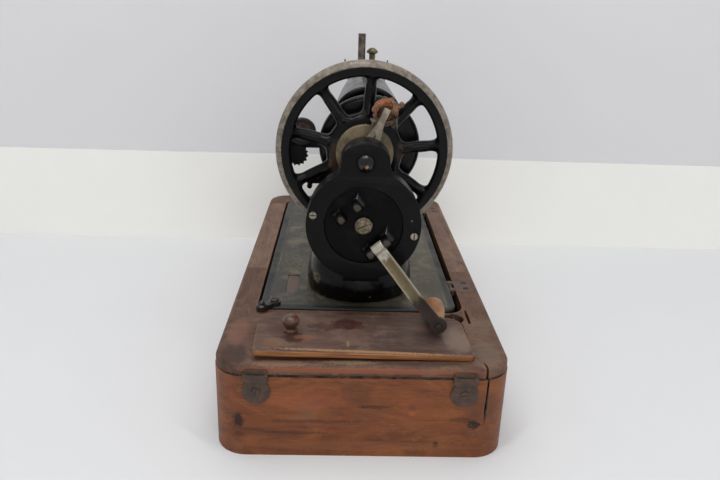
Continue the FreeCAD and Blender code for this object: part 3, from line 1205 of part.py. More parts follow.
ring_disc = rod("ring_disc", "y", "housing_radius",
                ("housing_front", "housing_front + cover_thick - 0.02"), ("shaft_x", "gear_z"))
ring_bore = rod("ring_bore", "y", "cover_bore", ("housing_front - 1", "housing_front + cover_thick + 1"),
                ("shaft_x", "gear_z"))
ring_top = block("ring_top", ("shaft_x - 60", "shaft_x + 60"),
                 ("housing_front - 2", "housing_front + cover_thick + 1"),
                 ("ear_flat - 0.05", "ear_flat + 60"))
COVER_SPOTS = [
    ("shaft_x - 38.3", "gear_z + 7.4"),
    ("shaft_x + 38.6", "gear_z - 7.6"),
]
ring_screw_holes = [rod(f"ring_screw_hole{i}", "y", "1.6",
                        ("housing_front - 1", "housing_front + cover_thick + 1"), spot)
                    for i, spot in enumerate(COVER_SPOTS)]
ring_sinks = [rod(f"ring_sink{i}", "y", "screw_cover + 0.1", ("housing_front - 1", "housing_front + 0.9"),
                  spot)
              for i, spot in enumerate(COVER_SPOTS)]
node(cut("ring_cut", ring_disc, ring_bore, ring_top, *ring_screw_holes, *ring_sinks), "gear_cover")
FACING = FreeCAD.Rotation(FreeCAD.Vector(1, 0, 0), 90)
cover_screws = [put(slotted_screw(f"cover_screw{i}", "screw_cover", "1.1", "1.6", "cover_thick - 1", "z",
                                  ("0", "0", "0")),
                    spot[0], "housing_front + 0.9", spot[1],
                    turn=FACING * FreeCAD.Rotation(FreeCAD.Vector(0, 0, 1), 90)) for i,
                    spot in enumerate(COVER_SPOTS)]
node(group("cover_fixings", *cover_screws), "cover_screws")

# Crank gear with its face and two pairs of lugs, drive pinion with sleeve


def toothed_wheel(name, teeth, root_cut, tip_add, space_first, bore, width):
    """Straight-toothed wheel about Z with generous backlash; the first tooth or space points along X."""
    module = value("gear_module")
    pitch = module * teeth / 2
    step = 2 * math.pi / teeth
    start = step / 2 if space_first else 0.0
    points = []
    for i in range(teeth):
        middle = start + i * step
        for part, radius in ((-0.31, pitch - root_cut), (-0.13, pitch + tip_add), (0.13, pitch + tip_add),
                             (0.31, pitch - root_cut)):
            angle = middle + part * step
            points.append(FreeCAD.Vector(radius * math.cos(angle), radius * math.sin(angle), 0))
    points.append(points[0])
    blank = Part.Face(Part.makePolygon(points)).extrude(FreeCAD.Vector(0, 0, width))
    item = doc.addObject("Part::Feature", name)
    item.Shape = blank.cut(Part.makeCylinder(bore, width + 2, FreeCAD.Vector(0, 0, -1)))
    return item


MODULE = value("gear_module")
TEETH_TOP = FreeCAD.Rotation(FreeCAD.Vector(0, 0, 1), 90)
gear_blank = toothed_wheel("gear_blank", round(value("gear_teeth")), 1.1 * MODULE, 0.75 * MODULE, False,
                           value("gear_stud_radius + running"), value("gear_width"))
gear_teeth_ring = put(gear_blank, "shaft_x", GEAR_FRONT, "gear_z", turn=ALONG["y"])
GEAR_FACE = "housing_front + gear_face_inset"
gear_plate = rod("gear_plate", "y", "cover_bore - gap", (GEAR_FACE, f"{GEAR_FRONT} + 0.01"),
                 ("shaft_x", "gear_z"))
gear_bore = rod("gear_bore", "y", "gear_stud_radius + running", (f"{GEAR_FACE} - 1", f"{GEAR_BACK} + 1"),
                ("shaft_x", "gear_z"))
gear_sink = rod("gear_sink", "y", "gear_screw_radius + 0.6", (f"{GEAR_FACE} - 1", f"{GEAR_FACE} + 0.6"),
                ("shaft_x", "gear_z"))


def crank_frame():
    """Turn that maps X to the arm's direction, Z to outward from the gear face and Y across the arm."""
    angle = math.radians(value("crank_angle"))
    out = FreeCAD.Vector(0, -1, 0)
    along = FreeCAD.Vector(math.cos(angle), 0, math.sin(angle))
    return FreeCAD.Rotation(along, out.cross(along), out, "XYZ")


CRANK_TURN = crank_frame()
FOLD_FRONT = "fold_out"


def on_crank(name, item):
    """Carry a piece from the crank's own frame, based at the ring face on the gear axis, to its place."""
    return put(group(name, item), "shaft_x", "housing_front", "gear_z", turn=CRANK_TURN)


def lug(name, along, side):
    """Upright lug with a round end: along is its distance from the axis, side its place across the arm."""
    across = (f"{side} * (lug_gap / 2 + lug_wide / 2) - lug_wide / 2",
              f"{side} * (lug_gap / 2 + lug_wide / 2) + lug_wide / 2")
    foot = block(name + "_foot", (f"{along} - lug_radius", f"{along} + lug_radius"), across,
                 ("-gear_face_inset - 0.5", FOLD_FRONT))
    end = rod(name + "_end", "y", "lug_radius", across, (along, FOLD_FRONT))
    return fuse(name, foot, end)


lugs = fuse("lugs", *[lug(f"lug_{tag}_{side}", along, side) for tag, along in
                      (("fold", "fold_radius"), ("rest", "-fold_radius")) for side in (-1, 1)])
fold_bore = rod("fold_bore", "y", "fold_pin", ("-40", "40"), ("fold_radius", FOLD_FRONT))
rest_bore = rod("rest_bore", "y", "fold_pin", ("-40", "40"), ("-fold_radius", FOLD_FRONT))
crank_lugs = on_crank("crank_lugs", cut("lugs_cut", lugs, fold_bore, rest_bore))
gear = cut("gear_cut", fuse("gear_solid", gear_teeth_ring, gear_plate), gear_bore, gear_sink)
node(fuse("gear_with_lugs", gear, crank_lugs), "crank_gear")
LUG_SPAN = ("-(lug_gap / 2 + lug_wide)", "lug_gap / 2 + lug_wide")
node(on_crank("fold_pin_placed", rod("fold_pin_rod", "y", "fold_pin", LUG_SPAN,
                                     ("fold_radius", FOLD_FRONT))),
     "fold_pin")

node(put(slotted_screw("gear_screw_body", "gear_screw_radius", "2.6", "gear_stud_radius",
                       "housing_deep - gear_face_inset - 0.6", "z", ("0", "0", "0")),
         "shaft_x", "housing_front + gear_face_inset + 0.3", "gear_z",
         turn=FACING * FreeCAD.Rotation(FreeCAD.Vector(0, 0, 1), 25)), "gear_screw")

pinion_blank = toothed_wheel("pinion_blank", round(value("pinion_teeth")), 1.1 * MODULE, 0.75 * MODULE,
                             True,
                             value("pinion_stud_radius + running"), value("gear_width"))
pinion_ring = put(pinion_blank, "shaft_x", GEAR_FRONT, "shaft_z", turn=ALONG["y"])
FINGER_FRONT = f"{HOUSING_BACK} + gap"
FINGER_BACK = f"{FINGER_FRONT} + finger_thick"
sleeve = turned("sleeve", [
    ("pinion_stud_radius + running", f"{GEAR_BACK} - 0.01"),
    ("sleeve_radius", f"{GEAR_BACK} - 0.01"),
    ("sleeve_radius", FINGER_BACK),
    ("pinion_stud_radius + running", FINGER_BACK),
], axis="y", at=("shaft_x", "0", "shaft_z"))
node(fuse("pinion_solid", pinion_ring, sleeve), "drive_pinion")
node(turned("stud", [
    ("0", "-pinion_knob * 0.75"),
    ("pinion_knob * 0.35", "-pinion_knob * 0.72"),
    ("pinion_knob * 0.72", "-pinion_knob * 0.5"),
    ("pinion_knob * 0.93", "-pinion_knob * 0.22"),
    ("pinion_knob", "0"),
    ("pinion_stud_radius", "0"),
    ("pinion_stud_radius", "housing_deep + finger_thick + 1"),
    ("0", "housing_deep + finger_thick + 1"),
], axis="y", at=("shaft_x", "housing_front", "shaft_z")), "pinion_stud")

# Drive finger on the pinion sleeve, its peg between two spokes, the leather wrap round the peg

FINGER_TURN = FreeCAD.Rotation(FreeCAD.Vector(0, 0, 1), -value("finger_angle"))
finger_flat = plate("finger_flat", [
    ("0", "-finger_root"),
    ("10", "-finger_root + 0.6"),
    ("16", "-finger_tip - 2.6"),
    ("24", "-finger_tip - 0.7"),
    ("30", "-finger_tip + 0.2"),
    ("finger_reach + 3", "-finger_tip"),
    ("finger_reach + 3", "finger_tip"),
    ("30", "finger_tip - 0.2"),
    ("24", "finger_tip + 0.7"),
    ("16", "finger_tip + 2.6"),
    ("10", "finger_root - 0.6"),
    ("0", "finger_root"),
], ("0", "finger_thick"))
finger_hub = rod("finger_hub", "z", "finger_root + 1.5", ("0", "finger_thick"), ("0", "0"))
finger_peg = rod("finger_peg", "z", "2.2", ("0", f"{SPOKE_MID} + 5 - ({FINGER_FRONT})"),
                 ("finger_reach", "0"))
finger_hole = rod("finger_hole", "z", "0.8", ("-1", "finger_thick + 1"), ("17", "0"))
sleeve_seat = rod("sleeve_seat", "z", "sleeve_radius", ("-1", "finger_thick + 1"), ("0", "0"))
finger = cut("finger_cut", fuse("finger_solid", finger_flat, finger_hub, finger_peg), finger_hole,
             sleeve_seat)
placed_finger = put(group("finger_turned", finger), turn=FINGER_TURN)
node(put(group("finger", placed_finger), "shaft_x", FINGER_FRONT, "shaft_z", turn=ALONG["y"]),
     "drive_finger")
wrap_pad = plate("wrap_pad", [
    ("finger_reach - 5.6", "-6"),
    ("finger_reach + 1", "-8.6"),
    ("finger_reach + 8", "-9.4"),
    ("finger_reach + 12.4", "-4"),
    ("finger_reach + 12.6", "3"),
    ("finger_reach + 7", "9"),
    ("finger_reach", "8.6"),
    ("finger_reach - 5.4", "6"),
], ("finger_thick", f"{SPOKE_MID} - spoke_root - gap - ({FINGER_FRONT})"))
wrap_sleeve = rod("wrap_sleeve", "z", "6", ("finger_thick + 4", f"{SPOKE_MID} + 4 - ({FINGER_FRONT})"),
                  ("finger_reach", "0"))
wrap_body = cut("wrap_cut", fuse("wrap_solid", wrap_pad, wrap_sleeve),
    rod("wrap_bore", "z", "2.2", ("0", f"{SPOKE_MID} + 6 - ({FINGER_FRONT})"), ("finger_reach", "0")))
placed_wrap = put(group("wrap_turned", wrap_body), turn=FINGER_TURN)
node(put(group("wrap", placed_wrap), "shaft_x", FINGER_FRONT, "shaft_z", turn=ALONG["y"]), "finger_wrap")

# Crank arm, spindle and wooden grip, folded away with the grip towards the machine

INSIDE_OUT = "crank_out - arm_thick"
arm_bar = plate("crank_bar", [
    ("fold_radius", "fold_out - arm_thick / 2"),
    ("crank_bend", INSIDE_OUT),
    ("crank_reach", INSIDE_OUT),
    ("crank_reach", "crank_out"),
    ("crank_bend - 1", "crank_out"),
    ("fold_radius", "fold_out + arm_thick / 2"),
], ("-arm_wide / 2", "arm_wide / 2"), "XZ_Plane")
rounded(arm_bar, "18", lambda b: near(b.XMin,
                                      value("crank_bend")) and b.XLength < 1e-4 and b.ZLength < 1e-4)
knuckle = rod("knuckle", "y", "lug_radius", ("-arm_wide / 2", "arm_wide / 2"),
              ("fold_radius", "fold_out"))
end_boss = rod("end_boss", "z", "arm_end_boss", (INSIDE_OUT, "crank_out"), ("crank_reach", "0"))
knuckle_bore = rod("knuckle_bore", "y", "fold_pin + running", ("-20", "20"), ("fold_radius", "fold_out"))
spindle_seat = rod("spindle_seat", "z", "grip_spindle", (f"{INSIDE_OUT} - 1", "crank_out + 1"),
                   ("crank_reach", "0"))
crank_arm = cut("crank_arm_cut", fuse("crank_arm_solid", arm_bar, knuckle, end_boss), knuckle_bore,
                spindle_seat)
node(on_crank("crank_arm_placed", crank_arm), "crank_arm")

spindle = rod("spindle", "z", "grip_spindle", (f"{INSIDE_OUT} - grip_long - 1.2", "crank_out + 0.8"),
              ("crank_reach", "0"))
spindle_head = rod("spindle_head", "z", "3.6",
                   (f"{INSIDE_OUT} - grip_long - 2.4", f"{INSIDE_OUT} - grip_long - 0.9"),
                   ("crank_reach", "0"))
node(on_crank("spindle_placed", fuse("spindle_solid", spindle, spindle_head)), "grip_spindle")
GRIP_TOP = f"{INSIDE_OUT} - 0.4"
grip_steps = [("grip_neck", 0), ("grip_neck * 0.92", 0.08), ("grip_neck * 1.02", 0.2),
              ("grip_belly * 0.86", 0.42),
              ("grip_belly * 0.97", 0.58), ("grip_belly", 0.72), ("grip_belly * 0.92", 0.86),
              ("grip_belly * 0.66", 0.96), ("grip_belly * 0.45", 1)]
grip_profile = [("grip_spindle + running", GRIP_TOP)]
grip_profile += [(radius, f"{GRIP_TOP} - {share} * grip_long") for radius, share in grip_steps]
grip_profile += [("grip_spindle + running", f"{GRIP_TOP} - grip_long")]
grip = turned("grip", grip_profile, at=("crank_reach", "0", "0"))
node(on_crank("grip_placed", grip), "crank_grip")

# Bobbin winder on the left of the arm end, shuttle lever under the bed

WINDER_BACK = "winder_back"
plate_low = rod("winder_low", "y", "7", (WINDER_BACK, f"{WINDER_BACK} + 3"),
                ("winder_pivot_x", "winder_pivot_z"))
plate_high = rod("winder_high", "y", "6", (WINDER_BACK, f"{WINDER_BACK} + 3"), ("winder_x", "winder_z"))
winder_web = block("winder_web", ("winder_pivot_x - 4", "winder_x + 3"),
                   (WINDER_BACK, f"{WINDER_BACK} + 3"),
                   ("winder_pivot_z", "winder_z"))
winder_bore = rod("winder_bore", "y", "2.4 + running", (f"{WINDER_BACK} - 1", f"{WINDER_BACK} + 4"),
                  ("winder_x", "winder_z"))
pivot_bore = rod("pivot_bore", "y", "2.4 + running", (f"{WINDER_BACK} - 1", f"{WINDER_BACK} + 4"),
                 ("winder_pivot_x", "winder_pivot_z"))
node(cut("winder_cut", fuse("winder_solid", plate_low, plate_high, winder_web), winder_bore, pivot_bore),
     "winder_frame")
bracket_pin = rod("winder_pin", "y", "2.4", (f"{WINDER_BACK} - 1.4", f"{WINDER_BACK} + 8"),
                  ("winder_pivot_x", "winder_pivot_z"))
bracket_arm = block("winder_arm", ("winder_pivot_x - 4", "bell_x - bell_radius + 9"),
                    (f"{WINDER_BACK} + 3 + gap", f"{WINDER_BACK} + 8"),
                    ("winder_pivot_z + 2", "winder_pivot_z + 12"))
bracket_ear = rod("winder_ear", "y", "5.2", (f"{WINDER_BACK} + 3 + gap", f"{WINDER_BACK} + 8"),
                  ("winder_pivot_x", "winder_pivot_z"))
pegs = [rod(f"winder_peg{i}", "y", "2.2", (f"{WINDER_BACK} - 1", f"{WINDER_BACK} + 8"), spot) for i,
        spot in
        enumerate((("peg_low_x", "peg_low_z"), ("peg_high_x", "peg_high_z")))]
peg_plate = block("peg_plate", ("peg_low_x - 2.5", "bell_x - bell_radius + 21"),
                  (f"{WINDER_BACK} + 4", f"{WINDER_BACK} + 8"), ("peg_low_z + 1", "peg_low_z + 9.5"))
bracket_body = fuse("winder_bracket_solid", bracket_pin, bracket_ear, bracket_arm, *pegs, peg_plate)
node(cut("winder_bracket_cut", bracket_body, bell), "winder_bracket")
tyre = turned("tyre", [
    ("0", f"{WINDER_BACK} - winder_tyre_wide - gap"),
    ("winder_tyre - 1", f"{WINDER_BACK} - winder_tyre_wide - gap"),
    ("winder_tyre", f"{WINDER_BACK} - winder_tyre_wide - gap + 1"),
    ("winder_tyre", f"{WINDER_BACK} - gap - 1"),
    ("winder_tyre - 1", f"{WINDER_BACK} - gap"),
    ("2.4", f"{WINDER_BACK} - gap"),
    ("2.4", f"{WINDER_BACK} + 30"),
    ("0", f"{WINDER_BACK} + 30"),
], axis="y", at=("winder_x", "0", "winder_z"))
node(tyre, "winder_pulley")

LEVER_TOP = "bed_top - bed_thick - gap"
shuttle_bar = block("shuttle_bar", ("shuttle_pivot_x - 5", "shuttle_pivot_x + 5"),
                    ("shuttle_pivot_y - 12", "shuttle_pivot_y + shuttle_reach"),
                    (f"{LEVER_TOP} - 12", f"{LEVER_TOP} - 7"))
shuttle_carrier = block("shuttle_carrier", ("shuttle_pivot_x - 24", "shuttle_pivot_x - 5"),
                        ("shuttle_pivot_y + shuttle_reach - 40", "shuttle_pivot_y + shuttle_reach"),
                        (f"{LEVER_TOP} - 12", f"{LEVER_TOP} - 4"))
shuttle_stud = rod("shuttle_stud", "z", "3 - running", (f"{LEVER_TOP} - 12", "bed_top - 1.4"),
                   ("shuttle_pivot_x", "shuttle_pivot_y"))
node(fuse("shuttle_solid", shuttle_bar, shuttle_carrier, shuttle_stud), "shuttle_lever")

# Build, test every object, write one file for each piece

doc.recompute()
faults = [f"{item.Name}: {item.State}" for item in doc.Objects if {"Invalid", "Error"} & set(item.State)]
for item in PIECES:
    if item.Shape.isNull() or not item.Shape.isValid() or not item.Shape.Solids:
        faults.append(f"{item.Label}: bad shape")
if faults:
    raise SystemExit("\n".join(faults))

os.makedirs("parts", exist_ok=True)
for item in PIECES:
    item.Shape.exportStep(f"parts/{item.Label}.step")
    print(f"{item.Label}: {len(item.Shape.Solids)} solids, {item.Shape.Volume / 1000:.2f} cm3")
print(len(PIECES), "nodes")
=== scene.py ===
import math

import bmesh
import bpy
from mathutils import Matrix, Vector, noise


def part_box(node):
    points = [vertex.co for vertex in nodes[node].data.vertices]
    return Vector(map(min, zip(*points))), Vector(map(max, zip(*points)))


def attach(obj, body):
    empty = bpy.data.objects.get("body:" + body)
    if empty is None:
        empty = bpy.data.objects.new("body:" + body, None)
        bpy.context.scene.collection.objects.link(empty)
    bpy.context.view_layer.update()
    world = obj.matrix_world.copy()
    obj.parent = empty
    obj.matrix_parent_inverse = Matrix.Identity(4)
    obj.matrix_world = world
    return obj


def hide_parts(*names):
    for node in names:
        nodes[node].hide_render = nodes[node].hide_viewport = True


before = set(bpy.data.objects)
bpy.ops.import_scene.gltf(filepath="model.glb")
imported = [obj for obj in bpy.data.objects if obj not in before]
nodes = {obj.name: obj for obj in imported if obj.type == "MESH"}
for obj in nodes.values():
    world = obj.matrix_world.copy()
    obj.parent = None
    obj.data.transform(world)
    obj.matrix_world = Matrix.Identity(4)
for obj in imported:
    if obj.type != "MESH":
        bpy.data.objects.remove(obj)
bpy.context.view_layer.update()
print("frame loaded,", len(nodes), "nodes")

# Lengths are in metres. The shaft carries the handwheel, the gear turns the crank.
machine = {
    "shaftX": -0.0012,
    "shaftZ": 0.209,
    "gearZ": 0.161,
    "crankAngle": -50,
    "lidLean": 1.35,
}
shaftX, shaftZ, gearZ = machine["shaftX"], machine["shaftZ"], machine["gearZ"]
crankTurn = math.radians(machine["crankAngle"])
lidLean = math.radians(machine["lidLean"])


# sRGB numbers from 0 to 255, as the linear colour that a node takes
def tone(red, green, blue):
    parts = [c / 255 for c in (red, green, blue)]
    return tuple(c / 12.92 if c < 0.04 else ((c + 0.055) / 1.055) ** 2.4 for c in parts) + (1.0,)


# Node helpers


def feed(tree, socket, given):
    if isinstance(given, bpy.types.NodeSocket):
        tree.links.new(given, socket)
    elif given is not None:
        socket.default_value = given


def feedAll(tree, node, inputs):
    for key, given in inputs.items():
        feed(tree, node.inputs[key], given)


def addNode(tree, kind, inputs=None, **settings):
    made = tree.nodes.new("ShaderNode" + kind)
    for key, setting in settings.items():
        setattr(made, key, setting)
    feedAll(tree, made, inputs or {})
    return made


def calc(tree, operation, first, second=None, third=None):
    inputs = {0: first, 1: second, 2: third}
    return addNode(tree, "Math", inputs, operation=operation).outputs[0]


def times(tree, first, second):
    return calc(tree, "MULTIPLY", first, second)


def minus(tree, first, second):
    return calc(tree, "SUBTRACT", first, second)


def blendColor(tree, amount, under, over, how="MIX"):
    inputs = {0: amount, 6: under, 7: over}
    return addNode(tree, "Mix", inputs, data_type="RGBA", blend_type=how).outputs[2]


def layOver(tree, color, over, mask, strength):
    return blendColor(tree, times(tree, mask, strength), color, over)


def ease(tree, given, low, high, start=0.0, end=1.0):
    inputs = {0: given, 1: low, 2: high, 3: start, 4: end}
    return addNode(tree, "MapRange", inputs, interpolation_type="SMOOTHSTEP").outputs[0]


def cloud(tree, place, scale, detail=4.0, rough=0.55, twist=0.0):
    inputs = {"Vector": place, "Scale": scale, "Detail": detail, "Roughness": rough,
              "Distortion": twist}
    return addNode(tree, "TexNoise", inputs).outputs[0]


def stretch(tree, place, by):
    return addNode(tree, "VectorMath", {0: place, 1: by}, operation="MULTIPLY").outputs[0]


def turnPlace(tree, place, turn, shift):
    inputs = {"Vector": place, "Rotation": [math.radians(a) for a in turn], "Location": shift}
    return addNode(tree, "Mapping", inputs).outputs[0]


def objectPlace(tree):
    return addNode(tree, "TexCoord").outputs["Object"]


def splitPlace(tree, place):
    return addNode(tree, "SeparateXYZ", {0: place}).outputs


def radiusAbout(tree, place, x, z):  # distance from an axis that runs along Y
    spots = splitPlace(tree, place)
    acrossX, acrossZ = minus(tree, spots["X"], x), minus(tree, spots["Z"], z)
    square = calc(tree, "ADD", times(tree, acrossX, acrossX), times(tree, acrossZ, acrossZ))
    return calc(tree, "SQRT", square)


def startGroup(name, inputs, outputs):
    group = bpy.data.node_groups.new(name, "ShaderNodeTree")
    kinds = {"value": "NodeSocketFloat", "vector": "NodeSocketVector", "color": "NodeSocketColor"}
    for direction, sockets in (("INPUT", inputs), ("OUTPUT", outputs)):
        for label, kind in sockets.items():
            group.interface.new_socket(name=label, in_out=direction, socket_type=kinds[kind])
    given = group.nodes.new("NodeGroupInput").outputs
    return group, given, group.nodes.new("NodeGroupOutput").inputs


def useGroup(tree, group, **inputs):
    made = tree.nodes.new("ShaderNodeGroup")
    made.node_tree = group
    feedAll(tree, made, inputs)
    return made.outputs


# Effects that several materials share

grain = {"streaks": (11, 150, 150), "figure": (20, 40, 40), "pores": (110, 1300, 1300)}


def makeWoodFigure(look):
    group, given, out = startGroup(
        "woodFigure",
        {"Place": "vector", "Light": "color", "Middle": "color", "Dark": "color"},
        {"Color": "color", "Height": "value"},
    )
    streaks = cloud(group, stretch(group, given["Place"], look["streaks"]), 1.0, 8, 0.7, 1.2)
    figure = cloud(group, stretch(group, given["Place"], look["figure"]), 1.0, 9, 0.74, 1.2)
    pores = cloud(group, stretch(group, given["Place"], look["pores"]), 1.0, 4, 0.7)
    color = blendColor(group, ease(group, streaks, 0.3, 0.62), given["Dark"], given["Middle"])
    color = blendColor(group, ease(group, figure, 0.4, 0.7), color, given["Light"])
    shade = ease(group, pores, 0.32, 0.62, 0.8, 1.06)
    dim = addNode(group, "CombineXYZ", {0: shade, 1: shade, 2: shade}).outputs[0]
    feed(group, out["Color"], blendColor(group, 1.0, color, dim, "MULTIPLY"))
    height = calc(group, "ADD", times(group, streaks, 0.5), times(group, pores, 0.5))
    feed(group, out["Height"], height)
    return group


def makeScratches():
    group, given, out = startGroup("scratches", {"Place": "vector"}, {"Mask": "value"})
    total = None
    for turn, seed in (((20, 35, 50), 0.1), ((70, -25, 15), 0.7)):
        turned = turnPlace(group, given["Place"], turn, (seed, seed, seed))
        line = cloud(group, stretch(group, turned, (30, 700, 700)), 1.0, 2, 0.4, 0.3)
        offLine = calc(group, "ABSOLUTE", minus(group, line, 0.5))
        thin = ease(group, offLine, 0.004, 0.016, 1.0, 0.0)
        here = ease(group, cloud(group, turned, 46.0, 3, 0.5), 0.55, 0.66)
        mark = times(group, thin, here)
        total = mark if total is None else calc(group, "MAXIMUM", total, mark)
    feed(group, out["Mask"], total)
    return group


def makePatches():
    group, given, out = startGroup(
        "patches",
        {"Place": "vector", "Scale": "value", "Level": "value", "Softness": "value"},
        {"Mask": "value"},
    )
    mottle = cloud(group, given["Place"], given["Scale"], 7, 0.62, 0.4)
    top = calc(group, "ADD", given["Level"], given["Softness"])
    feed(group, out["Mask"], ease(group, mottle, given["Level"], top))
    return group


def makeEdgeWear():
    group, given, out = startGroup(
        "edgeWear",
        {"Place": "vector", "Radius": "value", "Breakup": "value"},
        {"Mask": "value"},
    )
    softNormal = addNode(group, "Bevel", {"Radius": given["Radius"]}, samples=4).outputs[0]
    normals = {0: softNormal, 1: addNode(group, "NewGeometry").outputs["Normal"]}
    match = addNode(group, "VectorMath", normals, operation="DOT_PRODUCT").outputs["Value"]
    bend = ease(group, minus(group, 1.0, match), 0.01, 0.16)
    rubbed = ease(group, cloud(group, given["Place"], given["Breakup"], 5, 0.6), 0.36, 0.6)
    feed(group, out["Mask"], times(group, bend, rubbed))
    return group


def makeSpot():
    group, given, out = startGroup(
        "spot",
        {"Place": "vector", "Centre": "vector", "Radii": "vector", "Wobble": "value",
         "Grain": "value"},
        {"Mask": "value"},
    )
    ends = {0: given["Place"], 1: given["Centre"]}
    away = addNode(group, "VectorMath", ends, operation="SUBTRACT").outputs[0]
    shares = {0: away, 1: given["Radii"]}
    scaled = addNode(group, "VectorMath", shares, operation="DIVIDE").outputs[0]
    far = addNode(group, "VectorMath", {0: scaled}, operation="LENGTH").outputs["Value"]
    jitter = minus(group, cloud(group, given["Place"], given["Grain"], 5, 0.6), 0.5)
    ragged = calc(group, "ADD", far, times(group, jitter, given["Wobble"]))
    feed(group, out["Mask"], ease(group, ragged, 0.55, 1.0, 1.0, 0.0))
    return group


woodFigure = makeWoodFigure(grain)
scratches = makeScratches()
patches = makePatches()
edgeWear = makeEdgeWear()
spot = makeSpot()


def newMaterial(name):
    material = bpy.data.materials.new(name)
    material.use_nodes = True
    return material, material.node_tree, material.node_tree.nodes["Principled BSDF"]


def bump(tree, shader, height, depth, strength):
    inputs = {"Height": height, "Distance": depth, "Strength": strength}
    feed(tree, shader.inputs["Normal"], addNode(tree, "Bump", inputs).outputs[0])


# Stains, knots, rubbed places and a few painted shadows and highlights, each (centre, radii,
# colour, strength, wobble)
def addMarks(tree, place, color, marks):
    for centre, radii, shade, strength, wobble in marks:
        mask = useGroup(tree, spot, Place=place, Centre=centre, Radii=radii, Wobble=wobble,
                        Grain=2.2 / max(min(radii), 0.003))["Mask"]
        color = layOver(tree, color, shade, mask, strength)
    return color


# Woods

baseWood = {
    "light": tone(140, 84, 46),
    "middle": tone(120, 68, 40),
    "dark": tone(94, 54, 35),
    "edge": tone(150, 95, 66),
    "edgeRadius": 0.0022,
    "edgeAmount": 0.45,
    "dust": tone(128, 100, 84),
    "dustLevel": 0.56,
    "dustAmount": 0.28,
    "roughness": 0.5,
    "coat": 0.05,
}
deckWood = {
    "light": tone(110, 80, 61),
    "middle": tone(90, 67, 54),
    "dark": tone(64, 46, 38),
    "edge": tone(140, 90, 66),
    "edgeRadius": 0.003,
    "edgeAmount": 0.7,
    "dust": tone(128, 110, 96),
    "dustLevel": 0.53,
    "dustAmount": 0.42,
    "roughness": 0.6,
    "coat": 0.06,
}
railLook = dict(deckWood, light=tone(130, 100, 82), middle=tone(112, 87, 73))
lidWood = dict(deckWood, light=tone(104, 80, 69), middle=tone(86, 67, 58), dark=tone(62, 46, 41),
               edge=tone(166, 112, 72), edgeRadius=0.0026, edgeAmount=0.95, dustAmount=0.3)
rawWood = {
    "light": tone(168, 132, 92),
    "middle": tone(150, 116, 80),
    "dark": tone(112, 84, 58),
    "edge": tone(172, 140, 102),
    "edgeRadius": 0.001,
    "edgeAmount": 0.3,
    "dust": tone(92, 76, 60),
    "dustLevel": 0.52,
    "dustAmount": 0.5,
    "roughness": 0.75,
    "coat": 0.0,
}
turnedKnob = dict(baseWood, light=tone(92, 54, 32), middle=tone(68, 39, 25),
                  dark=tone(36, 23, 17), dustAmount=0.1, edgeAmount=0.1, roughness=0.24, coat=0.7)
turnedGrip = dict(baseWood, light=tone(164, 118, 76), middle=tone(140, 94, 60),
                  dark=tone(100, 66, 43), dust=tone(96, 66, 50), dustLevel=0.5, dustAmount=0.4,
                  edgeAmount=0.1, roughness=0.45, coat=0.2)

black = tone(24, 20, 19)
# painted shadow for the groove between the deck and the boards
seamShadow = tone(26, 18, 15)
markDepth = 0.02
surfaces = {"boardFront": -0.216, "deckTop": 0.076, "lidTop": 0.081}


# x, z, radii in x and z, colour, strength, wobble
def onFront(x, z, wide, high, *rest):
    return ((x, surfaces["boardFront"], z), (wide, markDepth, high), *rest)


# x, y, radii in x and y, colour, strength, wobble
def onTop(level, x, y, wide, deep, *rest):
    return ((x, y, level), (wide, deep, markDepth), *rest)


nearBoardMarks = [onFront(*row) for row in (
    (-0.0900, 0.0300, 0.0050, 0.0070, black, 0.85, 1.5),
    (-0.0895, 0.0180, 0.0050, 0.0030, black, 0.35, 1.2),
    (0.0830, 0.0290, 0.0060, 0.0048, black, 0.9, 1.6),
    (0.0740, 0.0330, 0.0120, 0.0030, black, 0.45, 1.2),
    (0.0560, 0.0110, 0.0026, 0.0036, black, 0.7, 0.9),
    (0.0370, 0.0430, 0.0040, 0.0030, black, 0.4, 1.0),
    (0.0368, 0.0380, 0.0030, 0.0027, tone(164, 98, 56), 0.7, 1.3),
    (0.0400, 0.0400, 0.0200, 0.0180, tone(132, 72, 46), 0.4, 0.9),
    (-0.0050, 0.0530, 0.0140, 0.0130, tone(84, 52, 40), 0.4, 1.3),
    # a painted shadow line along the seam under the deck
    (0.0000, 0.0672, 0.2000, 0.0009, seamShadow, 0.95, 0.3),
    (0.0090, 0.0430, 0.0130, 0.0022, tone(52, 38, 34), 0.55, 1.3),
    (-0.0350, 0.0300, 0.0450, 0.0022, tone(70, 44, 36), 0.5, 1.5),
    (-0.0480, 0.0200, 0.0300, 0.0018, tone(66, 42, 34), 0.45, 1.5),
    (-0.0450, 0.0480, 0.0400, 0.0110, tone(150, 82, 54), 0.4, 0.9),
    (0.0000, 0.0090, 0.1000, 0.0050, tone(142, 90, 60), 0.35, 0.9),
    (0.0870, 0.0450, 0.0160, 0.0160, tone(92, 60, 46), 0.5, 0.8),
)]
deckMarks = [onTop(surfaces["deckTop"], *row) for row in (
    (-0.0940, -0.2000, 0.0130, 0.0190, tone(58, 40, 36), 0.75, 0.9),
    (-0.0960, -0.1650, 0.0100, 0.0260, tone(126, 84, 70), 0.5, 0.9),
    (-0.0600, -0.2120, 0.0260, 0.0040, tone(128, 100, 82), 0.6, 1.9),
    (-0.0100, -0.2095, 0.0240, 0.0034, tone(140, 116, 94), 0.6, 2.0),
    (0.0440, -0.2110, 0.0260, 0.0036, tone(70, 48, 44), 0.6, 1.2),
    (0.0930, -0.1950, 0.0130, 0.0240, tone(112, 98, 86), 0.4, 1.6),
    (0.0930, -0.1500, 0.0130, 0.0200, tone(112, 92, 78), 0.5, 1.0),
)] + [  # the deck's front edge, and a painted shadow line in the seam under it
    ((0.0, -0.216, 0.0725), (0.12, 0.004, 0.003), tone(142, 84, 60), 0.75, 0.9),
    ((0.0, -0.216, 0.0677), (0.20, 0.020, 0.001), seamShadow, 0.95, 0.3),
]
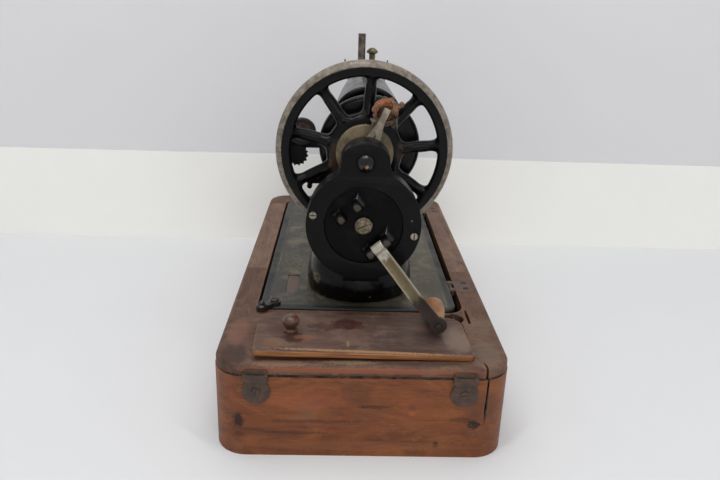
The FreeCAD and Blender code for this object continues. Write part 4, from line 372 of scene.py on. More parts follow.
lidMarks = [onTop(surfaces["lidTop"], *row) for row in (
    (-0.0120, -0.1620, 0.0150, 0.0110, tone(58, 28, 24), 0.9, 1.5),
    (-0.0290, -0.1690, 0.0150, 0.0080, tone(66, 38, 32), 0.75, 1.6),
    (-0.0020, -0.1640, 0.0040, 0.0030, tone(96, 36, 30), 0.6, 1.0),
    (-0.0520, -0.1880, 0.0110, 0.0090, tone(58, 34, 28), 0.85, 1.5),
    (-0.0430, -0.1860, 0.0120, 0.0040, tone(134, 84, 60), 0.6, 1.2),
    (-0.0640, -0.1760, 0.0100, 0.0120, tone(78, 48, 42), 0.6, 1.0),
    (-0.0110, -0.1940, 0.0016, 0.0050, tone(132, 112, 84), 0.7, 1.5),
    (0.0720, -0.1800, 0.0130, 0.0250, tone(126, 108, 94), 0.55, 0.9),
    (0.0500, -0.1790, 0.0140, 0.0120, tone(56, 46, 42), 0.55, 0.7),
    (-0.0660, -0.1960, 0.0110, 0.0090, tone(128, 88, 62), 0.4, 1.3),
)] + [onTop(0.082, 0.0, -0.2045, 0.08, 0.0022, tone(160, 124, 88), 0.8, 1.8)]

boardSplit = {"x": 0.0909, "sway": 0.0024, "foot": 0.026, "fade": 0.012, "yEnd": -0.190}
lidBand = {"slope": math.tan(lidLean), "top": 0.0821, "depth": 0.0078,
           # foot: the colour of the painted shade and the painted shadow line under the lip
           "raw": tone(158, 104, 62), "dark": tone(120, 74, 42), "foot": tone(60, 38, 28)}


def addSplit(tree, place, color, look):  # dark, ragged line down the board
    spots = splitPlace(tree, place)
    sway = cloud(tree, stretch(tree, place, (0, 0, 1)), 190.0, 6, 0.7)
    course = calc(tree, "MULTIPLY_ADD", sway, look["sway"], look["x"] - look["sway"] / 2)
    offLine = calc(tree, "ABSOLUTE", minus(tree, spots["X"], course))
    near = ease(tree, offLine, 0.0005, 0.0011, 1.0, 0.0)
    high = times(tree, near, ease(tree, spots["Z"], look["foot"], look["foot"] + look["fade"]))
    front = ease(tree, spots["Y"], look["yEnd"], look["yEnd"] + 0.004, 1.0, 0.0)
    return layOver(tree, color, black, high, front)


def addBand(tree, place, color, look):  # raw wood on the near edge, with painted shade at its foot and a painted shadow line under the lip
    facing = splitPlace(tree, addNode(tree, "NewGeometry").outputs["Normal"])["Y"]
    spots = splitPlace(tree, place)
    top = calc(tree, "MULTIPLY_ADD", spots["X"], -look["slope"], look["top"])
    below = minus(tree, top, spots["Z"])
    streak = cloud(tree, stretch(tree, place, (22, 900, 900)), 1.0, 4, 0.6)
    raw = blendColor(tree, ease(tree, streak, 0.35, 0.65), look["dark"], look["raw"])
    # painted shade on the lower part below the lip
    foot = ease(tree, below, look["depth"] * 0.62, look["depth"] * 0.8)
    raw = layOver(tree, raw, look["foot"], foot, 0.6)
    # a painted shadow line where the lip overhangs the part below
    offLip = calc(tree, "ABSOLUTE", minus(tree, below, look["depth"] * 0.5))
    raw = blendColor(tree, ease(tree, offLip, 0.0001, 0.0006, 0.7, 0.0), raw, look["foot"])
    return blendColor(tree, ease(tree, facing, -0.75, -0.35, 1.0, 0.0), color, raw)


alongX, alongY, alongZ = (0, 0, 0), (0, 0, 90), (0, 90, 0)  # turns of the grain


def makeWood(name, look, turn=alongX, marks=(), crossBeyond=None, band=None, split=None):
    material, tree, shader = newMaterial(name)
    place = objectPlace(tree)
    tones = dict(Light=look["light"], Middle=look["middle"], Dark=look["dark"])
    turned = turnPlace(tree, place, turn, (0.31, 0.17, 0.05))
    figure = useGroup(tree, woodFigure, Place=turned, **tones)
    color = figure["Color"]
    if crossBeyond is not None:  # the rails at both sides run the other way
        turned = turnPlace(tree, place, alongY, (0.1, 0.4, 0))
        across = useGroup(tree, woodFigure, Place=turned, **tones)
        away = ease(tree, splitPlace(tree, place)["Y"], crossBeyond, crossBeyond + 0.0006)
        color = blendColor(tree, away, color, across["Color"])
    dusty = useGroup(tree, patches, Place=place, Scale=38.0, Level=look["dustLevel"],
                     Softness=0.14)["Mask"]
    color = layOver(tree, color, look["dust"], dusty, look["dustAmount"])
    color = addMarks(tree, place, color, marks)
    scratched = useGroup(tree, scratches, Place=place)["Mask"]
    color = layOver(tree, color, look["dust"], scratched, 0.5)
    worn = useGroup(tree, edgeWear, Place=place, Radius=look["edgeRadius"], Breakup=150.0)["Mask"]
    color = layOver(tree, color, look["edge"], worn, look["edgeAmount"])
    if split:
        color = addSplit(tree, place, color, split)
    if band:
        color = addBand(tree, place, color, band)
    feedAll(tree, shader, {
        "Base Color": color,
        "Roughness": ease(tree, dusty, 0.0, 1.0, look["roughness"], look["roughness"] + 0.18),
        "Specular IOR Level": 0.22,
        "Coat Weight": look["coat"],
        "Coat Roughness": 0.35,
    })
    bump(tree, shader, figure["Height"], 0.0005, 0.5)
    return material


nearWood = makeWood("nearBoardWood", baseWood, marks=nearBoardMarks, split=boardSplit)
endWood = makeWood("farBoardWood", baseWood)
sideWood = makeWood("sideBoardWood", baseWood, alongY)
deckNearWood = makeWood("deckNearWood", deckWood, marks=deckMarks, crossBeyond=-0.138)
railWood = makeWood("railWood", railLook, alongY)
farRailWood = makeWood("farRailWood", deckWood)
lidTopWood = makeWood("lidWood", lidWood, marks=lidMarks, band=lidBand)
innerWood = makeWood("innerWood", rawWood, alongY)
bottomWood = makeWood("bottomWood", rawWood)
knobWood = makeWood("knobWood", turnedKnob, alongZ)
gripWood = makeWood("gripWood", turnedGrip, alongY)
print("woods made")

# Black japan on the castings

plainJapan = {
    "color": tone(9, 9, 9),
    "worn": tone(66, 58, 48),
    "wornAmount": 0.3,
    "wornRadius": 0.0005,
    "dust": tone(34, 31, 28),
    "dustAmount": 0.35,
    "roughness": 0.3,
    "specular": 0.2,
}


def makeJapan(name, changes, marks=(), ornament=None):
    look = dict(plainJapan, **changes)
    material, tree, shader = newMaterial(name)
    place = objectPlace(tree)
    dusty = useGroup(tree, patches, Place=place, Scale=60.0, Level=0.5, Softness=0.2)["Mask"]
    color = layOver(tree, look["color"], look["dust"], dusty, look["dustAmount"])
    worn = useGroup(tree, edgeWear, Place=place, Radius=look["wornRadius"], Breakup=420.0)["Mask"]
    color = layOver(tree, color, look["worn"], worn, look["wornAmount"])
    color = addMarks(tree, place, color, marks)
    if ornament:  # last flakes of gilt lines
        for centre, radii in ornament["places"]:
            mask = useGroup(tree, spot, Place=place, Centre=centre, Radii=radii, Wobble=1.4,
                            Grain=160.0)["Mask"]
            flakes = ease(tree, cloud(tree, place, 700.0, 4, 0.7, 1.0), 0.46, 0.58)
            color = layOver(tree, color, ornament["gold"], mask, flakes)
    feedAll(tree, shader, {
        "Base Color": color,
        "Roughness": ease(tree, dusty, 0.0, 1.0, look["roughness"], look["roughness"] + 0.16),
        "Specular IOR Level": look["specular"],
    })
    bump(tree, shader, cloud(tree, place, 240.0, 4, 0.5), 0.0003, 0.2)
    return material


coverChip = ((0.0350, -0.155, 0.1660), (0.0006, 0.004, 0.0008), tone(130, 120, 100), 0.9, 0.4)
lugShine = [((x, -0.1695, z), (0.0036, 0.0046, 0.0036), tone(92, 84, 76), 0.6, 1.2)
            for x, z in ((0.0159, 0.1525), (0.0042, 0.1427), (-0.0066, 0.1793), (-0.0183, 0.1695))]
studChip = ((shaftX + 0.0008, -0.1605, shaftZ - 0.0014), (0.0016, 0.004, 0.0018),
            tone(140, 108, 66), 0.95, 0.3)
armGilt = {
    "gold": tone(128, 116, 84),
    "places": [
        ((-0.0440, -0.1000, 0.1080), (0.0045, 0.03, 0.0140)),
        ((-0.0385, -0.1030, 0.0930), (0.0042, 0.03, 0.0050)),
        ((0.0400, -0.1040, 0.0900), (0.0030, 0.03, 0.0040)),
        ((0.0080, -0.1150, 0.0840), (0.0012, 0.02, 0.0012)),
    ],
}
houseJapan = makeJapan("houseJapan", {"color": tone(8, 8, 8), "roughness": 0.36,
                                      "specular": 0.14}, [coverChip])
gearJapan = makeJapan("gearJapan", {"color": tone(6, 6, 6), "roughness": 0.32,
                                    "specular": 0.08}, lugShine)
# Lug webs: their light worn edges are painted highlights
lugTips = makeJapan("lugJapan", {"color": tone(13, 12, 12), "worn": tone(72, 66, 58),
                                 "wornAmount": 0.8, "wornRadius": 0.0012, "roughness": 0.24,
                                 "specular": 0.5})
armJapan = makeJapan("armJapan", {"color": tone(5, 5, 5), "roughness": 0.22, "specular": 0.22},
                     ornament=armGilt)
knobJapan = makeJapan("studJapan", {"color": tone(7, 7, 9), "roughness": 0.1, "dustAmount": 0.1,
                                    "wornAmount": 0.0, "specular": 0.5}, [studChip])
winderJapan = makeJapan("winderJapan", {"color": tone(9, 8, 8), "roughness": 0.45})

# Bed plate: hazy japan with a worn gilt border

bedLook = {
    "deep": tone(36, 36, 33),
    "pale": tone(66, 63, 55),
    "border": tone(26, 30, 30),
    "gilt": tone(120, 112, 84),
    "warm": tone(104, 94, 72),
    "grit": tone(108, 104, 88),
    "stain": tone(112, 104, 78),
    "edge": tone(22, 24, 24),
    "left": -0.0845,
    "right": 0.0815,
    "near": -0.1247,
    "far": 0.187,
    "roughness": 0.36,
}
bedBare = ((-0.0605, -0.0748, 0.0766), (0.0075, 0.0270, 0.0007), tone(96, 76, 64), 0.95, 0.2)


def makeBedJapan(look):
    material, tree, shader = newMaterial("bedJapan")
    place = objectPlace(tree)
    spots = splitPlace(tree, place)
    sides = (minus(tree, spots["X"], look["left"]), minus(tree, look["right"], spots["X"]))
    ends = (minus(tree, spots["Y"], look["near"]), minus(tree, look["far"], spots["Y"]))
    inset = calc(tree, "MINIMUM", calc(tree, "MINIMUM", *sides), calc(tree, "MINIMUM", *ends))
    haze = ease(tree, cloud(tree, place, 26.0, 6, 0.62, 0.6), 0.36, 0.66)
    color = blendColor(tree, haze, look["deep"], look["pale"])
    drift = addNode(tree, "TexNoise", {"Vector": place, "Scale": 60.0}).outputs[1]
    cells = {"Vector": blendColor(tree, 0.014, place, drift, "ADD"), "Scale": 190.0}
    lace = addNode(tree, "TexVoronoi", cells, feature="DISTANCE_TO_EDGE").outputs[0]
    lines = ease(tree, lace, 0.03, 0.12, 1.0, 0.0)
    band = times(tree, ease(tree, inset, 0.009, 0.012), ease(tree, inset, 0.034, 0.046, 1.0, 0.0))
    left = useGroup(tree, patches, Place=place, Scale=30.0, Level=0.47, Softness=0.1)["Mask"]
    gilt = times(tree, times(tree, lines, band), left)
    color = layOver(tree, color, look["gilt"], gilt, 0.4)
    rightHand = ease(tree, spots["X"], 0.0, 0.07, 0.0, 0.3)
    color = blendColor(tree, rightHand, color, look["warm"])
    grit = ease(tree, cloud(tree, place, 520.0, 6, 0.7), 0.45, 0.7)
    color = layOver(tree, color, look["grit"], grit, 0.4)
    stain = useGroup(tree, patches, Place=place, Scale=44.0, Level=0.5, Softness=0.12)["Mask"]
    color = layOver(tree, color, look["stain"], times(tree, stain, band), 0.55)
    rule = calc(tree, "ABSOLUTE", minus(tree, inset, 0.0078))
    color = layOver(tree, color, look["gilt"], ease(tree, rule, 0.0003, 0.0008, 0.5, 0.0), left)
    color = blendColor(tree, ease(tree, inset, 0.0045, 0.0075, 0.85, 0.0), color, look["border"])
    color = addMarks(tree, place, color, [bedBare])
    worn = useGroup(tree, edgeWear, Place=place, Radius=0.001, Breakup=300.0)["Mask"]
    feedAll(tree, shader, {
        "Base Color": layOver(tree, color, look["edge"], worn, 0.4),
        "Roughness": ease(tree, haze, 0.0, 1.0, look["roughness"], look["roughness"] + 0.2),
        "Specular IOR Level": 0.35,
    })
    bump(tree, shader, cloud(tree, place, 300.0, 5, 0.6), 0.0002, 0.3)
    return material


bedJapan = makeBedJapan(bedLook)

# Handwheel: black inside, bare steel round the rim

wheelLook = {
    "black": tone(7, 7, 8),
    "steel": tone(148, 139, 127),
    "dark": tone(110, 101, 90),
    "pit": tone(58, 49, 41),
    "dust": tone(30, 27, 24),
    "rim": 0.0653,
}
wheelBrown = tone(62, 46, 36)
wheelMarks = [
    ((-0.0235, -0.118, 0.2030), (0.0065, 0.01, 0.0190), wheelBrown, 0.85, 0.8),
    ((0.0262, -0.118, 0.2100), (0.0030, 0.01, 0.0120), wheelBrown, 0.6, 1.0),
    ((-0.0040, -0.118, 0.2390), (0.0040, 0.01, 0.0040), tone(58, 50, 42), 0.5, 1.0),
]


def makeWheelJapan(look):
    material, tree, shader = newMaterial("wheelJapan")
    place = objectPlace(tree)
    radius = radiusAbout(tree, place, shaftX, shaftZ)
    ragged = calc(tree, "MULTIPLY_ADD", cloud(tree, place, 500.0, 4, 0.6), 0.0012, radius)
    bare = ease(tree, ragged, look["rim"], look["rim"] + 0.0007)
    mottle = ease(tree, cloud(tree, place, 210.0, 6, 0.65), 0.35, 0.62)
    steel = blendColor(tree, mottle, look["dark"], look["steel"])
    pits = ease(tree, cloud(tree, place, 1500.0, 3, 0.7), 0.52, 0.62)
    steel = layOver(tree, steel, look["pit"], pits, 0.6)
    paint = addMarks(tree, place, look["black"], wheelMarks)
    dusty = useGroup(tree, patches, Place=place, Scale=70.0, Level=0.52, Softness=0.16)["Mask"]
    paint = layOver(tree, paint, look["dust"], dusty, 0.3)
    feedAll(tree, shader, {
        "Base Color": blendColor(tree, bare, paint, steel),
        "Metallic": times(tree, bare, 0.35),
        "Roughness": ease(tree, bare, 0.0, 1.0, 0.26, 0.52),
        "Specular IOR Level": 0.18,
    })
    bump(tree, shader, cloud(tree, place, 900.0, 4, 0.6), 0.00012, 0.15)
    return material


wheelJapan = makeWheelJapan(wheelLook)

# Bare metals

brightSteel = {
    "light": tone(186, 180, 170),
    "dark": tone(120, 112, 102),
    "rust": tone(92, 66, 46),
    "rustLevel": 0.56,
    "rustAmount": 0.6,
    "rustScale": 260.0,
    "roughness": 0.34,
    "metal": 0.85,
}
# light, dark, rust, and what else differs from the bright steel
steelLooks = {
    "brightSteel": (None, None, None, {}),
    "fingerSteel": ((156, 145, 130), (116, 106, 93), None,
                    {"rustAmount": 0.45, "rustLevel": 0.6, "metal": 0.6, "roughness": 0.42}),
    "screwNickel": ((158, 152, 132), (112, 106, 90), None,
                    {"rustAmount": 0.5, "metal": 0.5, "roughness": 0.5}),
    "wornScrew": ((150, 138, 116), (92, 80, 62), (60, 44, 30),
                  {"rustLevel": 0.46, "rustAmount": 0.75, "rustScale": 700.0, "metal": 0.55,
                   "roughness": 0.5}),
    "clutchSteel": ((126, 112, 86), (88, 78, 58), (64, 50, 30),
                    {"metal": 0.35, "roughness": 0.5, "rustScale": 90.0}),
    "plateBronze": ((80, 57, 42), (58, 41, 31), (34, 26, 21),
                    {"metal": 0.0, "roughness": 0.55, "rustAmount": 0.5, "rustScale": 300.0}),
    "hingeSteel": ((84, 70, 62), (48, 40, 36), (34, 26, 22), {"metal": 0.3, "roughness": 0.55}),
    "leafSteel": ((98, 76, 66), (82, 62, 54), (60, 44, 38),
                  {"metal": 0.0, "roughness": 0.6, "rustAmount": 0.5}),
    "catchSteel": ((58, 52, 48), (34, 31, 30), (92, 72, 56),
                   {"rustLevel": 0.6, "rustAmount": 0.4, "metal": 0.3, "roughness": 0.32}),
    "barSteel": ((122, 114, 102), (72, 65, 57), (84, 58, 40), {"metal": 0.7}),
    "slideSteel": ((84, 82, 78), (54, 52, 50), (60, 48, 40), {"metal": 0.3, "roughness": 0.5}),
    "knobBrass": ((128, 120, 88), (78, 72, 50), (52, 44, 30), {"metal": 0.6}),
}


def makeSteel(name, light, dark, rust, changes, marks=()):
    shades = {"light": light, "dark": dark, "rust": rust}
    look = dict(brightSteel, **changes, **{key: tone(*s) for key, s in shades.items() if s})
    material, tree, shader = newMaterial(name)
    place = objectPlace(tree)
    mottle = ease(tree, cloud(tree, place, 120.0, 5, 0.6), 0.35, 0.65)
    color = blendColor(tree, mottle, look["dark"], look["light"])
    rusty = useGroup(tree, patches, Place=place, Scale=look["rustScale"],
                     Level=look["rustLevel"], Softness=0.12)["Mask"]
    rusty = times(tree, rusty, look["rustAmount"])
    color = blendColor(tree, rusty, color, look["rust"])
    feedAll(tree, shader, {
        "Base Color": addMarks(tree, place, color, marks),
        "Metallic": ease(tree, rusty, 0.0, 1.0, look["metal"], look["metal"] * 0.3),
        "Roughness": ease(tree, rusty, 0.0, 1.0, look["roughness"], look["roughness"] + 0.25),
    })
    bump(tree, shader, cloud(tree, place, 1500.0, 3, 0.6), 0.0001, 0.35)
    return material


# Slots of the two cover screws, painted in as dark lines of shade: one lies level, one stands
# upright
screwLow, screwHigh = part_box("cover_screws")
slot = {"radius": 0.0029, "long": 0.0040, "wide": 0.0006, "color": tone(24, 22, 20)}
slotShadeMarks = [
    ((screwLow.x + slot["radius"], screwLow.y, screwHigh.z - slot["radius"]),
     (slot["long"], 0.004, slot["wide"]), slot["color"], 1.0, 0.1),
    ((screwHigh.x - slot["radius"], screwLow.y, screwLow.z + slot["radius"]),
     (slot["wide"], 0.004, slot["long"]), slot["color"], 1.0, 0.1),
]
metals = {name: makeSteel(name, *look, slotShadeMarks if name == "screwNickel" else ())
          for name, look in steelLooks.items()}

# Crank arm: bright at its root, olive on its way, brown at its end

crankLook = {
    "bright": tone(184, 178, 166),
    "olive": tone(108, 96, 72),
    "speck": tone(92, 78, 56),
    "edge": tone(176, 168, 152),
    "brown": tone(44, 31, 25),
}


def makeCrankSteel(look):
    cosine, sine = math.cos(crankTurn), math.sin(crankTurn)
    material, tree, shader = newMaterial("crankSteel")
    place = objectPlace(tree)
    spots = splitPlace(tree, place)
    fromX, fromZ = minus(tree, spots["X"], shaftX), minus(tree, spots["Z"], gearZ)
    along = calc(tree, "ADD", times(tree, fromX, cosine), times(tree, fromZ, sine))
    across = minus(tree, times(tree, fromX, -sine), times(tree, fromZ, -cosine))
    wobble = calc(tree, "MULTIPLY_ADD", cloud(tree, place, 110.0, 5, 0.65), 0.02, along)
    color = blendColor(tree, ease(tree, wobble, 0.0335, 0.0365), look["bright"], look["olive"])
    speck = ease(tree, cloud(tree, place, 420.0, 6, 0.7), 0.42, 0.62)
    color = layOver(tree, color, look["speck"], speck, 0.35)
    rubbed = ease(tree, calc(tree, "ABSOLUTE", across), 0.0026, 0.0044)
    color = layOver(tree, color, look["edge"], rubbed, 0.55)
    color = blendColor(tree, ease(tree, wobble, 0.066, 0.076, 0.0, 0.96), color, look["brown"])
    feedAll(tree, shader, {
        "Base Color": color,
        "Metallic": ease(tree, wobble, 0.062, 0.074, 0.6, 0.0),
        "Roughness": ease(tree, speck, 0.0, 1.0, 0.36, 0.55),
        "Specular IOR Level": 0.25,
    })
    bump(tree, shader, cloud(tree, place, 800.0, 4, 0.6), 0.00012, 0.4)
    return material


crankSteel = makeCrankSteel(crankLook)


# Leather and rubber


def makeLeather(name, light, dark, pale, paleLevel):
    material, tree, shader = newMaterial(name)
    place = objectPlace(tree)
    mottle = ease(tree, cloud(tree, place, 190.0, 6, 0.65, 0.5), 0.36, 0.64)
    color = blendColor(tree, mottle, tone(*dark), tone(*light))
    rubbed = useGroup(tree, patches, Place=place, Scale=330.0, Level=paleLevel,
                      Softness=0.1)["Mask"]
    feedAll(tree, shader, {
        "Base Color": layOver(tree, color, tone(*pale), rubbed, 0.6),
        "Roughness": 0.8,
        "Sheen Weight": 0.2,
    })
    bump(tree, shader, cloud(tree, place, 1400.0, 6, 0.7), 0.0004, 0.8)
    return material


leathers = {
    "orange": makeLeather("orangeLeather", (150, 80, 38), (72, 41, 24), (112, 78, 48), 0.56),
    "tan": makeLeather("tanLeather", (124, 82, 46), (64, 44, 29), (136, 112, 82), 0.58),
    "grey": makeLeather("greyLeather", (108, 94, 78), (60, 50, 42), (140, 128, 110), 0.56),
}

tyreLook = {"x": -0.0513, "z": 0.2194, "discRadius": 0.0074, "rubber": tone(26, 25, 25),
            "rustDark": tone(46, 36, 32), "rustLight": tone(84, 62, 52)}


def makeRubber(look):  # black tyre round a rusty steel disc
    material, tree, shader = newMaterial("tyreRubber")
    place = objectPlace(tree)
    radius = radiusAbout(tree, place, look["x"], look["z"])
    disc = ease(tree, radius, look["discRadius"], look["discRadius"] + 0.0006, 1.0, 0.0)
    mottle = ease(tree, cloud(tree, place, 260.0, 6, 0.65), 0.36, 0.62)
    rusty = blendColor(tree, mottle, look["rustDark"], look["rustLight"])
    feedAll(tree, shader, {
        "Base Color": blendColor(tree, disc, look["rubber"], rusty),
        "Roughness": ease(tree, disc, 0.0, 1.0, 0.6, 0.5),
    })
    bump(tree, shader, cloud(tree, place, 900.0, 4, 0.6), 0.0002, 0.4)
    return material


tyreRubber = makeRubber(tyreLook)
print("metals, leather and rubber made")

# Every CAD node gets its finish, bright steel where none is named

finishGroups = [
    (nearWood, ["near_end_board"]),
    (endWood, ["far_end_board"]),
    (sideWood, ["left_side_board", "right_side_board"]),
    (deckNearWood, ["deck_near_board"]),
    (railWood, ["deck_left_rail", "deck_right_rail"]),
    (farRailWood, ["deck_far_rail"]),
    (lidTopWood, ["compartment_lid"]),
    (knobWood, ["lid_knob"]),
    (gripWood, ["crank_grip"]),
    (bottomWood, ["bottom_panel", "compartment_floor", "compartment_divider"]),
    (innerWood, ["corner_blocks", "bed_bearers"]),
    (bedJapan, ["bed_plate"]),
    (armJapan, ["arm_casting"]),
    (wheelJapan, ["handwheel"]),
    (houseJapan, ["crank_bracket", "gear_cover"]),
    (gearJapan, ["crank_gear"]),
    (knobJapan, ["pinion_stud"]),
    (winderJapan, ["winder_bracket", "winder_frame"]),
    (tyreRubber, ["winder_pulley"]),
    (crankSteel, ["crank_arm"]),
    (leathers["grey"], ["finger_wrap"]),
    (metals["fingerSteel"], ["drive_finger"]),
    (metals["clutchSteel"], ["clutch_disc"]),
    (metals["wornScrew"], ["gear_screw"]),
    (metals["plateBronze"], ["catch_plates", "catch_screws"]),
    (metals["catchSteel"], ["bed_catch", "bed_catch_screw", "grip_spindle"]),
    (metals["leafSteel"], ["hinge_leaves"]),
    (metals["hingeSteel"], ["hinge_pins", "hinge_fingers", "hinge_screws", "lid_pins",
                            "bracket_screw"]),
    (metals["screwNickel"], ["cover_screws", "plate_screws"]),
    (metals["barSteel"], ["thread_guides", "needle_bar", "presser_bar"]),
    (metals["knobBrass"], ["pressure_knob"]),
    (metals["slideSteel"], ["slide_plate_front", "slide_plate_back"]),
]
finishes = {name: finish for finish, names in finishGroups for name in names}


def finishOf(name):
    return finishes.get(name, metals["brightSteel"])


for name, node in nodes.items():
    node.data.materials.clear()
    node.data.materials.append(finishOf(name))

# Mesh helpers


def startCopy(name):
    shell = bmesh.new()
    shell.from_mesh(nodes[name].data)
    bmesh.ops.remove_doubles(shell, verts=shell.verts, dist=2e-6)
    return shell


def voxelShell(shell, size):  # one closed skin round everything in the shell
    mesh = bpy.data.meshes.new("voxelSource")
    shell.to_mesh(mesh)
    shell.free()
    worker = bpy.data.objects.new("voxelSource", mesh)
    bpy.context.scene.collection.objects.link(worker)
    skin = worker.modifiers.new("skin", "REMESH")
    skin.mode = "VOXEL"
    skin.voxel_size = size
    bpy.context.view_layer.update()
    skinned = worker.evaluated_get(bpy.context.evaluated_depsgraph_get())
    made = bpy.data.meshes.new_from_object(skinned)
    bpy.data.objects.remove(worker)
    shell = bmesh.new()
    shell.from_mesh(made)
    bpy.data.meshes.remove(made)
    return shell


def relax(shell, verts, rounds, factor=0.5):
    for _ in range(rounds):
        bmesh.ops.smooth_vert(shell, verts=verts, factor=factor, use_axis_x=True,
                              use_axis_y=True, use_axis_z=True)


def finishPiece(name, shell, body, material, replaced=(), sharp=60):
    mesh = bpy.data.meshes.new(name)
    bmesh.ops.recalc_face_normals(shell, faces=shell.faces)
    shell.to_mesh(mesh)
    shell.free()
    for layer in ("custom_normal", "UVMap"):
        if layer in mesh.attributes:
            mesh.attributes.remove(mesh.attributes[layer])
    mesh.shade_smooth()
    mesh.set_sharp_from_angle(angle=math.radians(sharp))
    mesh.materials.clear()
    mesh.materials.append(material)
    piece = bpy.data.objects.new(name, mesh)
    bpy.context.scene.collection.objects.link(piece)
    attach(piece, body)
    if replaced:
        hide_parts(*replaced)


# Handwheel: spokes that flow into rim and hub

wheelShape = {
    "voxel": 0.0009,
    "spokes": 9,
    "first": 6,
    "y": -0.1105,
    "hubRadius": 0.0302,
    "rimInside": 0.0576,
    "hubFlare": 0.0080,
    "rimFlare": 0.0076,
    "thin": 0.0048,
    "flareLong": 0.0085,
    "flat": 0.78,
    "smooth": 12,
    "reach": 0.0075,
}


def makeHandwheel(look):
    hub, rim = look["hubRadius"], look["rimInside"]
    shell = startCopy("handwheel")
    for i in range(look["spokes"]):
        angle = math.radians(look["first"] + i * 360 / look["spokes"])
        out = Vector((math.cos(angle), 0, math.sin(angle)))
        turn = out.to_track_quat("Z", "Y").to_matrix().to_4x4()
        for start, end, wide in (
            (hub - 0.0015, hub + look["flareLong"], (look["hubFlare"], look["thin"])),
            (rim - look["flareLong"], rim + 0.0022, (look["thin"] - 0.0006, look["rimFlare"])),
        ):
            middle = Vector((shaftX, look["y"], shaftZ)) + out * (start + end) / 2
            place = Matrix.Translation(middle) @ turn @ Matrix.Diagonal((1, look["flat"], 1, 1))
            bmesh.ops.create_cone(shell, cap_ends=True, segments=24, radius1=wide[0],
                                  radius2=wide[1], depth=end - start, matrix=place)
    shell = voxelShell(shell, look["voxel"])
    between = []
    for vert in shell.verts:
        reach = math.hypot(vert.co.x - shaftX, vert.co.z - shaftZ)
        nearHub = hub - 0.002 < reach < hub + look["reach"]
        nearRim = rim - look["reach"] < reach < rim + 0.0035
        if nearHub or nearRim:
            between.append(vert)
    relax(shell, between, look["smooth"])
    relax(shell, shell.verts[:], 3)
    finishPiece("wheelCasting", shell, "wheel", wheelJapan, ("handwheel",), 75)


makeHandwheel(wheelShape)
print("handwheel made")

# Arm and pillar: one casting with soft joins

armShape = {"voxel": 0.0016, "smooth": 5, "factor": 0.45}


def makeArm(look):
    shell = voxelShell(startCopy("arm_casting"), look["voxel"])
    relax(shell, shell.verts[:], look["smooth"], look["factor"])
    finishPiece("armCasting", shell, "head", armJapan, ("arm_casting",))


makeArm(armShape)

# Rounded edges on the castings and plates

softened = [
    # node, piece, body, slot, width of the rounding, its segments
    ("crank_bracket", "bracketCasting", "head", "black_japan", 0.0007, 3),
    ("gear_cover", "coverRing", "head", "black_japan", 0.0006, 2),
    ("crank_gear", "gearCasting", "crank", "black_japan", 0.0005, 2),
    ("drive_finger", "fingerForging", "pinion", "bright_steel", 0.0006, 2),
    ("catch_plates", "catchPressings", "base", "dark_fittings", 0.0004, 2),
    ("catch_screws", "catchScrewHeads", "base", "dark_fittings", 0.0002, 2),
    ("cover_screws", "coverScrewHeads", "head", "nickel", 0.00015, 2),
    ("gear_screw", "gearScrewHead", "head", "worn_screw", 0.0003, 2),
    ("clutch_disc", "clutchPlate", "clutch", "clutch_steel", 0.0004, 2),
    ("bed_catch", "catchLever", "catch_lever", "hinge_steel", 0.0006, 3),
    ("winder_frame", "winderArm", "winder", "black_japan", 0.0004, 2),
    ("face_plate", "facePlate", "head", "bright_steel", 0.0003, 2),
]
softenLimits = {"flat": math.radians(0.6), "corner": math.radians(32), "sharp": 45}


def softenNode(name, newName, body, slot, width, segments):
    shell = startCopy(name)
    bmesh.ops.dissolve_limit(shell, angle_limit=softenLimits["flat"], verts=shell.verts,
                             edges=shell.edges)
    edges = [e for e in shell.edges
             if len(e.link_faces) == 2 and e.calc_face_angle(0.0) > softenLimits["corner"]]
    bmesh.ops.bevel(shell, geom=edges, offset=width, segments=segments, profile=0.5,
                    affect="EDGES", clamp_overlap=True, material=-1)
    finishPiece(newName, shell, body, finishOf(name), (name,), softenLimits["sharp"])


for row in softened:
    softenNode(*row)
print("edges rounded")

# Crank arm: forged bar with a hollow face

crankAlong = Vector((math.cos(crankTurn), 0, math.sin(crankTurn)))
crankAcross = Vector((-math.sin(crankTurn), 0, math.cos(crankTurn)))
gearCentre = Vector((shaftX, 0, gearZ))
crankShape = {"voxel": 0.00045, "dish": 0.0009, "half": 0.0042, "from": 0.0235, "to": 0.083,
              "rootFade": 0.006, "tipFade": 0.010}


def makeCrank(look):
    shell = voxelShell(startCopy("crank_arm"), look["voxel"])
    shell.normal_update()
    for vert in shell.verts:
        away = vert.co - gearCentre
        reach, side = away.dot(crankAlong), away.dot(crankAcross)
        inside = look["from"] < reach < look["to"] and abs(side) < look["half"]
        if inside and vert.normal.y < -0.4:
            root, tip = reach - look["from"], look["to"] - reach
            ends = min(1.0, root / look["rootFade"], tip / look["tipFade"])
            vert.co.y += look["dish"] * ends * (1 - (side / look["half"]) ** 2)
    relax(shell, shell.verts[:], 3)
    finishPiece("crankForging", shell, "arm", crankSteel, ("crank_arm",))


makeCrank(crankShape)

# Lug bases: sloping webs outside each pair of lugs on the gear face

lugShape = {"along": 0.0175, "inner": 0.0056, "outer": 0.0146, "outerTop": 0.0098,
            "half": 0.0068, "halfTop": 0.0036, "foot": -0.1538, "top": -0.1605, "bevel": 0.0006}


